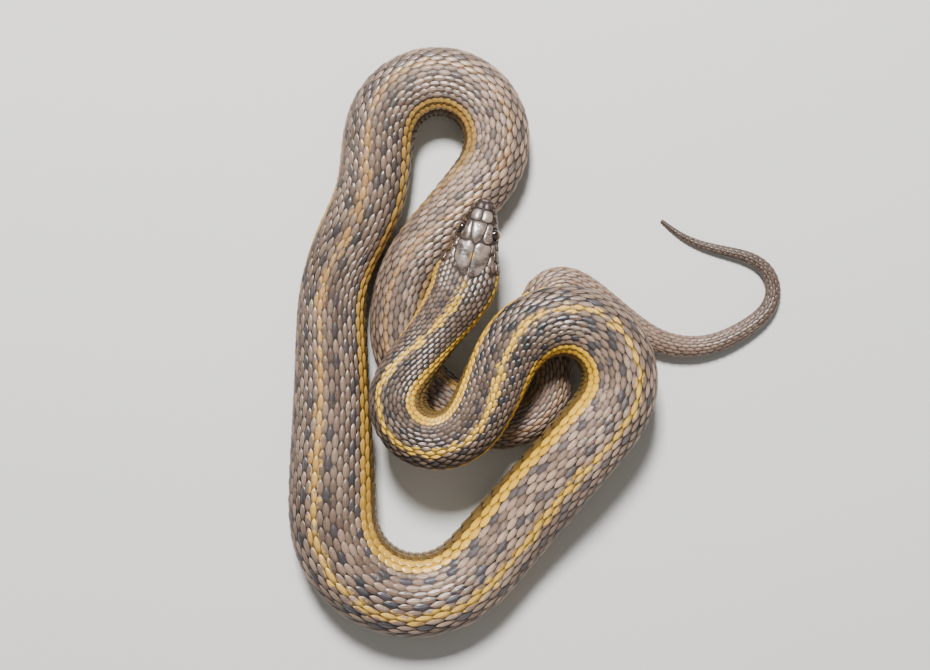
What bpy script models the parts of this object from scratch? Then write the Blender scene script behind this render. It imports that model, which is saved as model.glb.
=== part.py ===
"""A garter snake lying in a loose coil: a still, life-size model.

The body is one loft along a course of bends, parted by thin cuts into head,
lower jaw, neck, torso and tail lengths. The head carries its shields as raised
plates. Sizes are in millimetres, and the objects are made in metres. The snout
points along +Y, +Z is up, and the belly of every length that lies on the
ground is flat at Z = 0.
"""

import math

import bmesh
import bpy
import numpy as np
from mathutils import Vector

MM = 0.001
GAP = 0.3
STEP = 0.5

# Bends of the body from snout to tail tip: centre x, centre y, radius, turn (+1 is to the left).
# The body runs straight from each bend to the next. The two ends have no radius.
BENDS = (
    (-14.0, 38.5, 0.0, 0),
    (-36.3, 20.9, 17.4, -1),
    (-27.2, -15.7, 11.2, 1),
    (-26.5, -15.2, 11.2, 1),
    (6.3, -10.0, 16.2, -1),
    (-33.4, -47.0, 22.7, -1),
    (-7.2, 6.0, 49.4, -1),
    (-73.3, 48.5, 28.8, 1),
    (-27.2, 55.5, 16.5, -1),
    (-10.2, 8.1, 27.2, 1),
    (-17.2, 3.4, 21.0, 1),
    (-9.6, -9.2, 14.6, 1),
    (7.1, 9.4, 7.8, -1),
    (42.8, 22.8, 24.5, 1),
    (57.2, 14.4, 9.7, 1),
    (52.6, 47.8, 22.0, -1),
    (35.1, 33.9, 0.0, 0),
)
BEND_BLEND = 4.0

# Width of the body by distance from the snout.
WIDTH = (
    (26, 18.3), (30, 17.2), (34, 14.8), (38, 13.4), (42, 13.4), (47, 14.7), (60, 16.2), (80, 16.3),
    (95, 17.6), (120, 19.1), (140, 20.7), (160, 21.6), (185, 22.0), (202, 22.5), (222, 23.1), (240, 23.9),
    (260, 24.9), (278, 24.5), (300, 21.7),
    (318, 20.0), (335, 18.8), (352, 20.0), (375, 20.2), (400, 19.5), (425, 18.9), (445, 17.9),
    (480, 17.1), (500, 16.2), (516, 14.2), (545, 11.7), (580, 9.6), (625, 5.9), (658, 4.0),
    (676, 2.6), (686, 1.7), (690, 0.9),
)
# Height over width, which grows towards the round tail.
ROUNDNESS = ((26, 0.68), (60, 0.80), (690, 0.86))
# Height of the belly, where the coil lies over its own lower lengths and then comes down.
BELLY = (
    (0, 14.8), (20, 14.8), (50, 14.5), (62, 13.7), (80, 12.9), (95, 12.2), (110, 10.8), (125, 9.6),
    (140, 7.3), (155, 6.2), (176, 5.5), (190, 2.6), (204, 0.0), (690, 0.0),
)
GROUND_FROM = 214
PROFILE_BLEND = 6.0

# Cross-section: its widest level as a share of the height, and the curve down to the flat belly.
WAIST = 0.45
BELLY_DROP = 1.15
BELLY_POWER = 0.9
SIDES = 24
RING_PITCH = 4.6

# Far end of each length, as a distance from the snout. The last one ends at the tail tip.
HEAD_END = 26
LENGTHS = (
    ("neck", 50), ("torso_01", 72), ("torso_02", 98), ("torso_03", 120), ("torso_04", 144),
    ("torso_05", 176), ("torso_06", 214), ("torso_07", 240), ("torso_08", 266), ("torso_09", 300),
    ("torso_10", 340), ("torso_11", 372), ("torso_12", 396), ("torso_13", 420), ("torso_14", 452),
    ("torso_15", 486), ("torso_16", 512), ("torso_17", 534), ("tail_01", 560), ("tail_02", 582),
    ("tail_03", 606), ("tail_04", 640), ("tail_05", 668), ("tail_06", None),
)

# Head by distance from the snout: full width, then top, chin and mouth line over the belly level.
HEAD_WIDTH = (
    (0, 2.4), (0.4, 4.0), (1.2, 5.5), (2.5, 6.9), (5, 8.7), (7.5, 10.5), (11, 12.3), (14.5, 13.9),
    (18, 16.6), (21.5, 18.0), (26, 18.3),
)
HEAD_TOP = (
    (0, 5.3), (0.4, 6.1), (1.2, 6.8), (2.5, 7.3), (5, 7.9), (8, 8.7), (11, 9.3), (15, 9.8),
    (20, 10.2), (26, 11.3),
)
HEAD_CHIN = ((0, 3.4), (0.4, 2.5), (1.2, 1.7), (2.5, 1.0), (5, 0.4), (10, 0.1), (16, 0), (26, 0))
MOUTH = ((-2, 3.1), (5, 2.7), (10, 2.8), (15, 3.5), (20, 4.5), (22, 4.8))
MOUTH_CORNER = 19.8
HEAD_STATIONS = (0, 0.4, 1.2, 2.5, 3.8, 5, 6.3, 7.6, 9, 10.4, 12, 13.6, 15.2, 17, 19, 21, 23.4)
HEAD_SIDES = 36
HEAD_SQUARENESS = 2.5
LIP_BULGE = 0.9

# Eyes and nostrils: distance from the snout, distance from the middle, level and radius.
EYE = (9.3, 4.4, 6.3, 1.65)
NOSTRIL = (1.9, 2.95, 5.15, 0.5)

# Shields of the right side, mirrored to the left where they clear the middle. Crown shields give
# (distance, length round from the crown's middle), cheek shields (distance, length up from the mouth).
CROWN_SHIELDS = (
    ((0.15, -1.3), (0.15, 1.3), (1.1, 2.0), (1.1, -2.0)),
    ((1.25, 0.06), (1.25, 1.9), (2.1, 2.3), (3.2, 2.2), (3.3, 0.06)),
    ((3.45, 0.06), (3.35, 2.3), (4.4, 3.1), (6.1, 3.3), (6.7, 2.05), (6.6, 0.06)),
    ((6.75, -1.8), (6.75, 1.8), (7.4, 2.0), (11.2, 1.5), (13.2, 0.0), (11.2, -1.5), (7.4, -2.0)),
    ((6.9, 2.15), (6.7, 3.3), (8.0, 4.4), (9.8, 4.9), (11.8, 4.5), (12.4, 2.8), (11.4, 1.65), (7.5, 2.15)),
    ((13.4, 0.06), (12.0, 1.25), (12.7, 2.8), (12.3, 4.5), (14.2, 4.8), (17.5, 4.6), (20.6, 3.1),
     (21.9, 1.4), (21.4, 0.06)),
)
CHEEK_SHIELDS = (
    ((1.15, 1.75), (2.2, 1.8), (2.2, 3.6), (1.15, 3.3)),
    ((2.32, 1.8), (3.6, 1.85), (3.7, 3.6), (3.1, 3.8), (2.32, 3.6)),
    ((3.72, 1.85), (5.9, 1.9), (6.1, 3.4), (4.5, 3.9), (3.82, 3.6)),
    ((6.0, 1.9), (7.8, 1.9), (7.6, 5.0), (6.7, 4.6), (6.2, 3.6)),
    ((11.4, 1.9), (12.9, 2.1), (13.0, 3.3), (11.5, 3.3)),
    ((11.5, 3.42), (13.0, 3.42), (13.2, 4.6), (11.6, 4.9)),
    ((13.05, 2.2), (15.8, 2.4), (16.4, 3.6), (15.8, 4.9), (13.3, 4.7), (13.15, 3.4)),
    ((16.0, 2.4), (19.2, 2.6), (19.6, 3.6), (19.0, 4.2), (16.5, 4.0), (16.5, 3.5)),
    ((16.1, 4.9), (16.5, 4.15), (19.0, 4.35), (19.6, 5.4), (17.2, 6.3)),
)
# Edges of the lip shields along the mouth, and their height over (or under) its line.
UPPER_LIP = (1.2, 2.9, 4.7, 6.7, 9.0, 11.3, 13.8, 16.4, 19.4)
LOWER_LIP = (1.5, 3.0, 4.6, 6.4, 8.4, 10.6, 13.0, 15.6, 19.0)
UPPER_LIP_HEIGHT = ((1.2, 1.6), (9, 1.75), (14, 2.05), (19.4, 2.3))
LOWER_LIP_HEIGHT = ((1.2, -1.3), (10, -1.9), (19.4, -2.2))
LIP_EDGE = 0.05
SEAM = 0.12
# A shield's rings: share of its outline and height over the skin, from underside to face.
PLATE_LEVELS = ((1.0, -0.35), (1.0, 0.04), (0.86, 0.2), (0.45, 0.23))
PLATE_PITCH = 2.0
SKIN_SAMPLES = 80

# Colour and roughness of each finish.
FINISHES = {
    "head skin": ((0.10, 0.055, 0.035), 0.35),
    "body skin": ((0.24, 0.17, 0.12), 0.5),
    "tail skin": ((0.19, 0.12, 0.085), 0.5),
    "eye": ((0.02, 0.015, 0.01), 0.08),
}


def read_profile(profile, at):
    """Value of a (distance, value) profile at one or many distances."""
    return np.interp(at, *zip(*profile))


def belt(bends):
    """Points of the straight runs and arcs that pass round the bends."""
    headings = []
    for (x1, y1, r1, turn1), (x2, y2, r2, turn2) in zip(bends, bends[1:]):
        swing = math.asin((turn2 * r2 - turn1 * r1) / math.hypot(x2 - x1, y2 - y1))
        headings.append(math.atan2(y2 - y1, x2 - x1) - swing)
    points = [bends[0][:2]]
    for (x, y, radius, turn), before, after in zip(bends[1:-1], headings, headings[1:]):
        sweep = (after - before) * turn % math.tau
        if sweep > 0.95 * math.tau:
            sweep -= math.tau
        for share in np.linspace(0, 1, max(2, int(abs(sweep) * radius / STEP) + 1)):
            angle = before + turn * sweep * share
            points.append((x + turn * radius * math.sin(angle), y - turn * radius * math.cos(angle)))
    points.append(bends[-1][:2])
    return np.array(points)


def run_length(points):
    return np.r_[0, np.cumsum(np.hypot(*np.diff(points, axis=0).T))]


def respace(points):
    """The same line with points one step apart."""
    run = run_length(points)
    even = np.linspace(0, run[-1], round(run[-1] / STEP) + 1)
    return np.column_stack([np.interp(even, run, column) for column in points.T])


def soften(values, blend):
    """Blend a row of values with its neighbours, keeping its two ends."""
    reach = int(4 * blend / STEP)
    weights = np.exp(-0.5 * (np.arange(-reach, reach + 1) * STEP / blend) ** 2)
    weights /= weights.sum()
    before = 2 * values[0] - values[reach:0:-1]
    after = 2 * values[-1] - values[-2:-reach - 2:-1]
    return np.convolve(np.r_[before, values, after], weights, "valid")


class Course:
    """The line that the body follows, with its width, height and belly level."""

    def __init__(self):
        bent = respace(belt(BENDS))
        self.points = respace(np.column_stack([soften(column, BEND_BLEND) for column in bent.T]))
        self.run = run_length(self.points)
        self.length = self.run[-1]
        self.onward = np.gradient(self.points, axis=0)
        self.width = soften(read_profile(WIDTH, self.run), PROFILE_BLEND)
        self.height = self.width * read_profile(ROUNDNESS, self.run)
        self.belly = soften(read_profile(BELLY, self.run), PROFILE_BLEND)
        self.belly[self.run >= GROUND_FROM] = 0.0

    def at(self, distance):
        """Centre point, direction to the animal's right, width, height and belly level."""
        rows = (*self.points.T, *self.onward.T, self.width, self.height, self.belly)
        x, y, on_x, on_y, width, height, belly = (np.interp(distance, self.run, row) for row in rows)
        right = np.array((-on_y, on_x)) / math.hypot(on_x, on_y)
        return np.array((x, y)), right, width, height, belly


def section(width, floor, waist, top, sides, squareness=2.0):
    """Outline across the body: places across it and levels, from the middle of the back round."""
    angle = math.tau * (np.arange(sides) / sides + 0.25)
    cosine, sine = np.cos(angle), np.sin(angle)
    power = 2 / squareness
    across = width / 2 * np.sign(cosine) * np.abs(cosine) ** power
    upper = waist + (top - waist) * np.abs(sine) ** power
    lower = waist - (waist - floor) * BELLY_DROP * np.abs(sine) ** (BELLY_POWER * power)
    return across, np.where(sine >= 0, upper, np.maximum(lower, floor))


def place_ring(course, distance, across, level, shift):
    """Ring across the course, moved onward by the shift without turning."""
    centre, right, _, _, belly = course.at(distance)
    onward = np.array((right[1], -right[0]))
    ground = centre + across[:, None] * right + shift * onward
    return np.column_stack([ground, belly + level])


def body_ring(course, distance, shift=0.0):
    _, _, width, height, _ = course.at(distance)
    across, level = section(width, 0, WAIST * height, height, SIDES)
    return place_ring(course, distance, across, level, shift)


def head_section(at, sides):
    """Section of the head, which turns into the neck's own section behind the mouth."""
    share = max(0.0, (at - MOUTH_CORNER) / (HEAD_END - MOUTH_CORNER))
    top = read_profile(HEAD_TOP, at)
    waist = (1 - share) * (read_profile(MOUTH, at) + LIP_BULGE) + share * WAIST * top
    squareness = (1 - share) * HEAD_SQUARENESS + share * 2.0
    chin = read_profile(HEAD_CHIN, at)
    return section(read_profile(HEAD_WIDTH, at), chin, waist, top, sides, squareness)


def head_ring(course, distance, shift=0.0):
    across, level = head_section(distance, HEAD_SIDES)
    return place_ring(course, distance, across, level, shift)


def in_head(course, at, across, level):
    """Place behind the snout, to the animal's right of the middle, and over the belly level."""
    snout, right, _, _, belly = course.at(0)
    x, y = snout + np.array((right[1], -right[0])) * at + right * across
    return Vector((x, y, belly + level)) * MM


class HeadSkin:
    """The head's surface by distance from the snout and length round from the crown's middle."""

    def __init__(self, course):
        self.course = course

    def half_ring(self, at):
        """Length round, place across and level, from the crown's middle to the chin's."""
        across, level = head_section(at, 2 * SKIN_SAMPLES)
        across, level = np.abs(across[:SKIN_SAMPLES + 1]), level[:SKIN_SAMPLES + 1]
        length = np.r_[0, np.cumsum(np.hypot(np.diff(across), np.diff(level)))]
        return length, across, level

    def lip(self, at):
        """Length round from the crown's middle to the line of the mouth."""
        length, _, level = self.half_ring(at)
        return np.interp(-read_profile(MOUTH, at), -level, length)

    def flat_point(self, at, arc):
        length, across, level = self.half_ring(at)
        sideways = math.copysign(np.interp(abs(arc), length, across), arc)
        return np.array((at, sideways, np.interp(abs(arc), length, level)))

    def point(self, at, arc, lift):
        """Place on the surface, moved out along its normal."""
        nudge = 0.05
        behind = self.flat_point(at + nudge, arc) - self.flat_point(max(at - nudge, 0), arc)
        down = self.flat_point(at, arc + nudge) - self.flat_point(at, arc - nudge)
        normal = np.cross(behind, down)
        moved = self.flat_point(at, arc) + normal / np.linalg.norm(normal) * lift
        return in_head(self.course, *moved)


def make_finishes():
    for name, (colour, roughness) in FINISHES.items():
        finish = bpy.data.materials.new(name)
        finish.use_nodes = True
        shader = finish.node_tree.nodes["Principled BSDF"]
        shader.inputs["Base Color"].default_value = (*colour, 1)
        shader.inputs["Roughness"].default_value = roughness


def add_collection(name):
    made = bpy.data.collections.new(name)
    bpy.context.scene.collection.children.link(made)
    return made


def add_object(name, shape, collection, finish=None):
    """Object from a finished bmesh, which is freed."""
    bmesh.ops.recalc_face_normals(shape, faces=shape.faces)
    mesh = bpy.data.meshes.new(name)
    shape.to_mesh(mesh)
    shape.free()
    mesh.shade_smooth()
    if finish:
        mesh.materials.append(bpy.data.materials[finish])
    made = bpy.data.objects.new(name, mesh)
    collection.objects.link(made)
    return made


def skin_between(shape, loops):
    """Faces between each closed loop of points and the next."""
    for near, far in zip(loops, loops[1:]):
        for index, corner in enumerate(near):
            after = (index + 1) % len(near)
            shape.faces.new((corner, near[after], far[after], far[index]))


def loft(name, rings, collection, finish=None):
    """Closed body through a row of rings in millimetres, with flat ends."""
    shape = bmesh.new()
    loops = [[shape.verts.new(Vector(point) * MM) for point in ring] for ring in rings]
    skin_between(shape, loops)
    shape.faces.new(loops[0])
    shape.faces.new(loops[-1])
    return add_object(name, shape, collection, finish)


def add_ball(name, centre, radius, collection, finish=None):
    shape = bmesh.new()
    bmesh.ops.create_uvsphere(shape, u_segments=16, v_segments=10, radius=radius * MM)
    bmesh.ops.translate(shape, verts=shape.verts, vec=centre)
    return add_object(name, shape, collection, finish)


def walk_round(outline):
    """Outline with points added so that none of its sides is longer than the pitch."""
    walked = []
    for near, far in zip(outline, outline[1:] + outline[:1]):
        count = max(1, math.ceil(math.dist(near, far) / PLATE_PITCH))
        walked += [np.array(near) + (np.array(far) - near) * part / count for part in range(count)]
    return np.array(walked)


def add_plate(name, skin, outline, collection):
    """Closed plate on the head: its underside is sunk, its rim bevelled and its face proud."""
    rim = walk_round(outline)
    middle = rim.mean(axis=0)
    shape = bmesh.new()
    loops = []
    for share, lift in PLATE_LEVELS:
        ring = middle + (rim - middle) * share
        loops.append([shape.verts.new(skin.point(at, arc, lift)) for at, arc in ring])
    skin_between(shape, loops)
    for loop, lift in ((loops[0], PLATE_LEVELS[0][1]), (loops[-1], PLATE_LEVELS[-1][1])):
        centre = shape.verts.new(skin.point(*middle, lift))
        for index, corner in enumerate(loop):
            shape.faces.new((corner, loop[(index + 1) % len(loop)], centre))
    return add_object(name, shape, collection)


def lip_shields(skin, edges, heights, rim):
    """Outlines of a row of shields along the mouth."""
    outlines = []
    for start, stop in zip(edges, edges[1:]):
        first, last = start + SEAM / 2, stop - SEAM / 2
        corners = ((first, rim), (last, rim), (last, read_profile(heights, last)),
                   (first, read_profile(heights, first)))
        outlines.append([(at, skin.lip(at) - up) for at, up in corners])
    return outlines


def shield_outlines(skin):
    """Every shield of the right side and the middle, as (distance, length round) outlines."""
    outlines = [list(outline) for outline in CROWN_SHIELDS]
    outlines += [[(at, skin.lip(at) - up) for at, up in outline] for outline in CHEEK_SHIELDS]
    outlines += lip_shields(skin, UPPER_LIP, UPPER_LIP_HEIGHT, LIP_EDGE)
    outlines += lip_shields(skin, LOWER_LIP, LOWER_LIP_HEIGHT, -LIP_EDGE)
    return outlines


def add_shields(skin, collection):
    for number, outline in enumerate(shield_outlines(skin)):
        add_plate("head_shield_%02d_right" % number, skin, outline, collection)
        if min(arc for _, arc in outline) > 0:
            mirrored = [(at, -arc) for at, arc in outline]
            add_plate("head_shield_%02d_left" % number, skin, mirrored, collection)


def combine(target, operation, collection):
    """Apply one Boolean with a collection of closed meshes, and remove them."""
    change = target.modifiers.new(operation.title(), "BOOLEAN")
    change.operation = operation
    change.operand_type = "COLLECTION"
    change.collection = collection
    change.solver = "MANIFOLD"
    bpy.context.view_layer.update()
    evaluated = target.evaluated_get(bpy.context.evaluated_depsgraph_get())
    combined = bpy.data.meshes.new_from_object(evaluated)
    target.modifiers.remove(change)
    target.data = combined
    for old in list(collection.objects):
        bpy.data.objects.remove(old, do_unlink=True)
    bpy.data.collections.remove(collection)


def keep_largest(target):
    """Keep only the largest closed surface of an object."""
    shape = bmesh.new()
    shape.from_mesh(target.data)
    waiting, groups = set(shape.verts), []
    while waiting:
        front, group = [waiting.pop()], []
        while front:
            vertex = front.pop()
            group.append(vertex)
            linked = {edge.other_vert(vertex) for edge in vertex.link_edges} & waiting
            waiting -= linked
            front += linked
        groups.append(group)
    groups.sort(key=len)
    scraps = [vertex for group in groups[:-1] for vertex in group]
    bmesh.ops.delete(shape, geom=scraps, context="VERTS")
    shape.to_mesh(target.data)
    shape.free()


def jaw_block(name, course, lift, back, collection):
    """Closed block below the mouth line, wider than the head."""
    profile = [(at, level + lift) for at, level in MOUTH if at < back]
    profile.append((back, read_profile(MOUTH, back) + lift))
    profile += [(back, -3), (-2, -3)]
    rings = [[in_head(course, at, across, level) / MM for at, level in profile] for across in (-14, 14)]
    loft(name, rings, collection)


def make_head(course, parts):
    """Head, lower jaw and eyes: one shielded form, split along the mouth line."""
    rings = [head_ring(course, at) for at in HEAD_STATIONS]
    rings.append(head_ring(course, HEAD_END, -GAP / 2))
    head = loft("head", rings, parts, "head skin")
    shields = add_collection("Shields")
    add_shields(HeadSkin(course), shields)
    combine(head, "UNION", shields)
    keep_largest(head)

    jaw = head.copy()
    jaw.data = head.data.copy()
    jaw.name = "lower_jaw"
    parts.objects.link(jaw)
    below = add_collection("Below the mouth")
    jaw_block("jaw_side", course, -GAP / 2, MOUTH_CORNER - GAP, below)
    combine(jaw, "INTERSECT", below)

    hollows = add_collection("Hollows")
    jaw_block("head_side", course, GAP / 2, MOUTH_CORNER, hollows)
    for label, hand in (("right", 1), ("left", -1)):
        at, across, level, radius = EYE
        eye = in_head(course, at, hand * across, level)
        add_ball("eye_" + label, eye, radius, parts, "eye")
        add_ball("socket_" + label, eye, radius + GAP, hollows)
        at, across, level, radius = NOSTRIL
        add_ball("nostril_" + label, in_head(course, at, hand * across, level), radius, hollows)
    combine(head, "DIFFERENCE", hollows)
    for piece in (head, jaw):
        keep_largest(piece)


def make_lengths(course, parts):
    """Neck, torso and tail, with parallel faces a gap apart at each cut."""
    start = HEAD_END
    for name, end in LENGTHS:
        stop = end or course.length
        between = np.linspace(start, stop, max(2, round((stop - start) / RING_PITCH)) + 1)[1:-1]
        rings = [body_ring(course, start, GAP / 2)]
        rings += [body_ring(course, at) for at in between]
        rings.append(body_ring(course, stop, -GAP / 2 if end else 0.0))
        loft(name, rings, parts, "tail skin" if name.startswith("tail") else "body skin")
        start = stop


def main():
    for old in list(bpy.data.objects):
        bpy.data.objects.remove(old, do_unlink=True)
    make_finishes()
    parts = add_collection("Garter snake")
    course = Course()
    make_head(course, parts)
    make_lengths(course, parts)


if __name__ == "__main__":
    main()
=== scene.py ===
"""Looks of a still garter snake in a loose coil: skin, head shields, keeled scales and belly plates.

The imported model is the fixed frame. One skin stands for its flesh and lies inside it by the depth of
the scales. Lengths are in millimetres where a name or comment doesn't say otherwise, and meshes are
made in metres. The surface is addressed by the distance from the snout and by the share of the girth
round from the middle of the back, positive to the animal's right.
"""

import math

import bpy
import numpy as np
from bpy.props import FloatProperty, FloatVectorProperty, PointerProperty
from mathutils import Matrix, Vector


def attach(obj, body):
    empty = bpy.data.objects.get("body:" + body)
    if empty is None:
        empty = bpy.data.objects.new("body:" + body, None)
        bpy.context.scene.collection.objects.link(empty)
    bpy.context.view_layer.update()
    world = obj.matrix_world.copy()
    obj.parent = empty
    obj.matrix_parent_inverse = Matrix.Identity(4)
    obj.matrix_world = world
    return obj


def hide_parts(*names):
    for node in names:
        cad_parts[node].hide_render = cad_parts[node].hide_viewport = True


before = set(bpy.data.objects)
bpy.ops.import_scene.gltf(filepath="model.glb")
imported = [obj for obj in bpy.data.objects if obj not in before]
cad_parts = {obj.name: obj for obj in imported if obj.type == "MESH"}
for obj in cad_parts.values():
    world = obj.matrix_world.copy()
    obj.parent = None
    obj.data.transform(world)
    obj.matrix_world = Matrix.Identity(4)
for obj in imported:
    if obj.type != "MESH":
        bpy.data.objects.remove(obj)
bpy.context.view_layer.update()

bl_info = {
    "name": "Garter Snake Model",
    "version": (1, 0, 0),
    "blender": (4, 5, 0),
    "location": "3D View > Sidebar > Garter Snake",
    "description": "Skin, scales, shields and eyes of a life-size garter snake model",
    "category": "Object",
}

MM = 0.001

# Distance between the points of the body's course.
STEP = 0.5

# Bends of the body from snout to tail tip: centre x, centre y, radius, turn (+1 is to the left).
BENDS = (
    (-14.0, 38.5, 0.0, 0),
    (-36.3, 20.9, 17.4, -1),
    (-27.2, -15.7, 11.2, 1),
    (-26.5, -15.2, 11.2, 1),
    (6.3, -10.0, 16.2, -1),
    (-33.4, -47.0, 22.7, -1),
    (-7.2, 6.0, 49.4, -1),
    (-73.3, 48.5, 28.8, 1),
    (-27.2, 55.5, 16.5, -1),
    (-10.2, 8.1, 27.2, 1),
    (-17.2, 3.4, 21.0, 1),
    (-9.6, -9.2, 14.6, 1),
    (7.1, 9.4, 7.8, -1),
    (42.8, 22.8, 24.5, 1),
    (57.2, 14.4, 9.7, 1),
    (52.6, 47.8, 22.0, -1),
    (35.1, 33.9, 0.0, 0),
)
BEND_BLEND = 4.0

# Profiles of the body by distance from the snout, as the solids have them.
WIDTH = (
    (26, 18.3), (30, 17.2), (34, 14.8), (38, 13.4), (42, 13.4), (47, 14.7), (60, 16.2), (80, 16.3),
    (95, 17.6), (120, 19.1), (140, 20.7), (160, 21.6), (185, 22.0), (202, 22.5), (222, 23.1),
    (240, 23.9), (260, 24.9), (278, 24.5), (300, 21.7), (318, 20.0), (335, 18.8), (352, 20.0),
    (375, 20.2), (400, 19.5), (425, 18.9), (445, 17.9), (480, 17.1), (500, 16.2), (516, 14.2),
    (545, 11.7), (580, 9.6), (625, 5.9), (658, 4.0), (676, 2.6), (686, 1.7), (690, 0.9),
)
ROUNDNESS = ((26, 0.68), (60, 0.80), (690, 0.86))
BELLY = (
    (0, 14.8), (20, 14.8), (50, 14.5), (62, 13.7), (80, 12.9), (95, 12.2), (110, 10.8), (125, 9.6),
    (140, 7.3), (155, 6.2), (176, 5.5), (190, 2.6), (204, 0.0), (690, 0.0),
)
GROUND_FROM = 214
PROFILE_BLEND = 6.0
WAIST = 0.45
BELLY_DROP = 1.15
BELLY_POWER = 0.9

# Head by distance from the snout: full width, then top, chin and mouth line over the belly level.
HEAD_END = 26
HEAD_WIDTH = (
    (0, 2.4), (0.4, 4.0), (1.2, 5.5), (2.5, 6.9), (5, 8.7), (7.5, 10.5), (11, 12.3), (14.5, 13.9),
    (18, 16.6), (21.5, 18.0), (26, 18.3),
)
HEAD_TOP = (
    (0, 5.3), (0.4, 6.1), (1.2, 6.8), (2.5, 7.3), (5, 7.9), (8, 8.7), (11, 9.3), (15, 9.8),
    (20, 10.2), (26, 11.3),
)
HEAD_CHIN = ((0, 3.4), (0.4, 2.5), (1.2, 1.7), (2.5, 1.0), (5, 0.4), (10, 0.1), (16, 0), (26, 0))
MOUTH = ((-2, 3.1), (5, 2.7), (10, 2.8), (15, 3.5), (20, 4.5), (22, 4.8))
MOUTH_CORNER = 19.8
HEAD_SQUARENESS = 2.5
LIP_BULGE = 0.9
HEAD_BLEND = 1.1

# Eyes and nostrils: distance from the snout, distance from the middle, level and radius.
EYE = (9.3, 4.4, 6.3, 1.65)
NOSTRIL = (1.9, 2.95, 5.15, 0.5)

# Eyeball: rings and columns of its mesh, how far it looks onward and up, the rise and the spread of
# its cornea, and the angle from its middle where the iris ends.
EYE_RINGS = 32
EYE_COLUMNS = 48
EYE_AIM = (0.12, 0.12)
CORNEA = (0.03, 0.6)
IRIS_REACH = 1.1

# How far the back has rolled to the animal's right, in degrees by distance from the snout.
ROLL = (
    (20, 0), (24, 2), (30, 2), (34, -1), (38, -5), (42, -14), (47, -25), (55, -43), (61, -46),
    (70, -36), (76, -24), (85, -15), (95, -13), (104, 2), (115, 10), (122, 19), (130, 28), (152, 29),
    (175, 26), (187, 22), (193, 22), (203, 30), (217, 29), (230, 28), (252, 27), (270, 23), (285, 20),
    (303, 12), (330, 19), (347, 3), (360, 8), (372, 15), (384, 21), (400, 29), (412, 28), (422, 26),
    (433, 21), (441, 16), (448, 6), (456, -9), (466, -24), (478, -28), (490, -28), (535, -21),
    (555, -33), (575, 5), (600, 8), (625, 0), (690, 0),
)
ROLL_BLEND = 4.0

# The surface is sampled by rings along the body and by steps from the back's middle to the belly's,
# and its slopes are measured over a nudge to each side.
RING_STEP = 0.5
HALF_SAMPLES = 240
GIRTH_STEPS = 96
NUDGE = 0.2

# Depth of the coat of scales over the skin by distance from the snout.
COAT = (
    (0, 0.3), (8, 0.36), (18, 0.4), (60, 0.44), (150, 0.5), (430, 0.5), (540, 0.42), (590, 0.34),
    (640, 0.22), (680, 0.13), (694, 0.08),
)

# Skin: spacing of its rings on the head and on the body, and its columns round the girth.
HEAD_PITCH = 0.26
BODY_PITCH = 1.2
COLUMNS = 128

# Dents of the head's surface: depth and half-width.
MOUTH_DENT = (0.5, 0.16)
NOSTRIL_DENT = (0.8, 0.42)
EYE_DENT = (0.3, 0.25)
# Length over which the line of the mouth ends at its corner.
MOUTH_FADE = 1.2

# Rows of back scales on each side of the middle row: their widths, where each row ends on the way
# to the tail tip, the length over which it narrows before that, and the share of its width where
# its last scale stands.
ROW_WIDTHS = (1.0, 1.0, 1.0, 1.0, 1.0, 1.0, 1.0, 1.0, 1.25, 1.35, 1.6)
ROW_ENDS = {5: 345, 6: 430, 7: 545, 3: 560, 4: 590, 8: 612, 2: 640, 9: 662, 10: 684}
ROW_FADE = 14.0
ROW_STOP = 0.12
# Share of the girth that the back rows cover, distance between scales of a row, and the distance
# from the snout past which they start.
BACK_SHARE = ((16, 0.66), (30, 0.66), (60, 0.62), (150, 0.59), (528, 0.6), (694, 0.62))
SCALE_PITCH = (
    (0, 1.7), (26, 1.85), (50, 2.1), (75, 2.2), (95, 2.35), (115, 2.8), (130, 3.3), (150, 3.5),
    (168, 3.7), (182, 4.1), (195, 4.25), (215, 4.15), (240, 3.95), (265, 3.9), (285, 4.1),
    (310, 4.25), (335, 4.1), (355, 3.9), (375, 3.5), (395, 3.0), (415, 2.95), (440, 3.2), (480, 3.3),
    (528, 3.0), (580, 2.7), (640, 2.0), (680, 1.4), (690, 1.0),
)
FIRST_SCALE = 12.0
# Share of a scale's length that lies clear of the head shields, and the clearance round them.
SCALE_REACH = 0.64
SHIELD_CLEARANCE = 0.12
# Limits of the surface's stretch that a scale's length follows.
SCALE_STRETCH = (0.55, 2.0)
# How much the scales differ in length, width, lift and lean.
LENGTH_SWING = 0.06
WIDTH_SWING = 0.05
LIFT_SWING = 0.06
LEAN_SWING = 0.1

# Far end of each piece of the coat of scales.
SCALE_PIECES = (
    ("scales_nape", 52), ("scales_first_bend", 108), ("scales_arch", 176), ("scales_lower_bend", 266),
    ("scales_left_side", 372), ("scales_top_bend", 452), ("scales_under_neck", 534),
    ("scales_tail", 700),
)

# Belly plates: where they start, where the single ones turn into pairs, and where they end.
BELLY_START = 24.5
VENT = 528.0
BELLY_END = 688.0
# Their length over their spacing, the limits of the stretch that it follows, their lift as a share
# of the coat's depth, and the row that they count as.
PLATE_LENGTH = 1.32
PLATE_STRETCH = (0.8, 1.5)
PLATE_LIFT = 0.95
PLATE_ROW = len(ROW_WIDTHS) + 1

# Throat scales: where their lines start, the distance between lines and between the scales of a
# line, their length, their half width over that distance, their lift, and how far on from the root
# they lie clear of the shields.
THROAT_START = 6.0
THROAT_PITCH = 0.85
THROAT_SPACING = 1.9
THROAT_LENGTH = 2.4
THROAT_HALF = 0.62
THROAT_LIFT = 0.9
THROAT_REACH = 0.6

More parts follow.
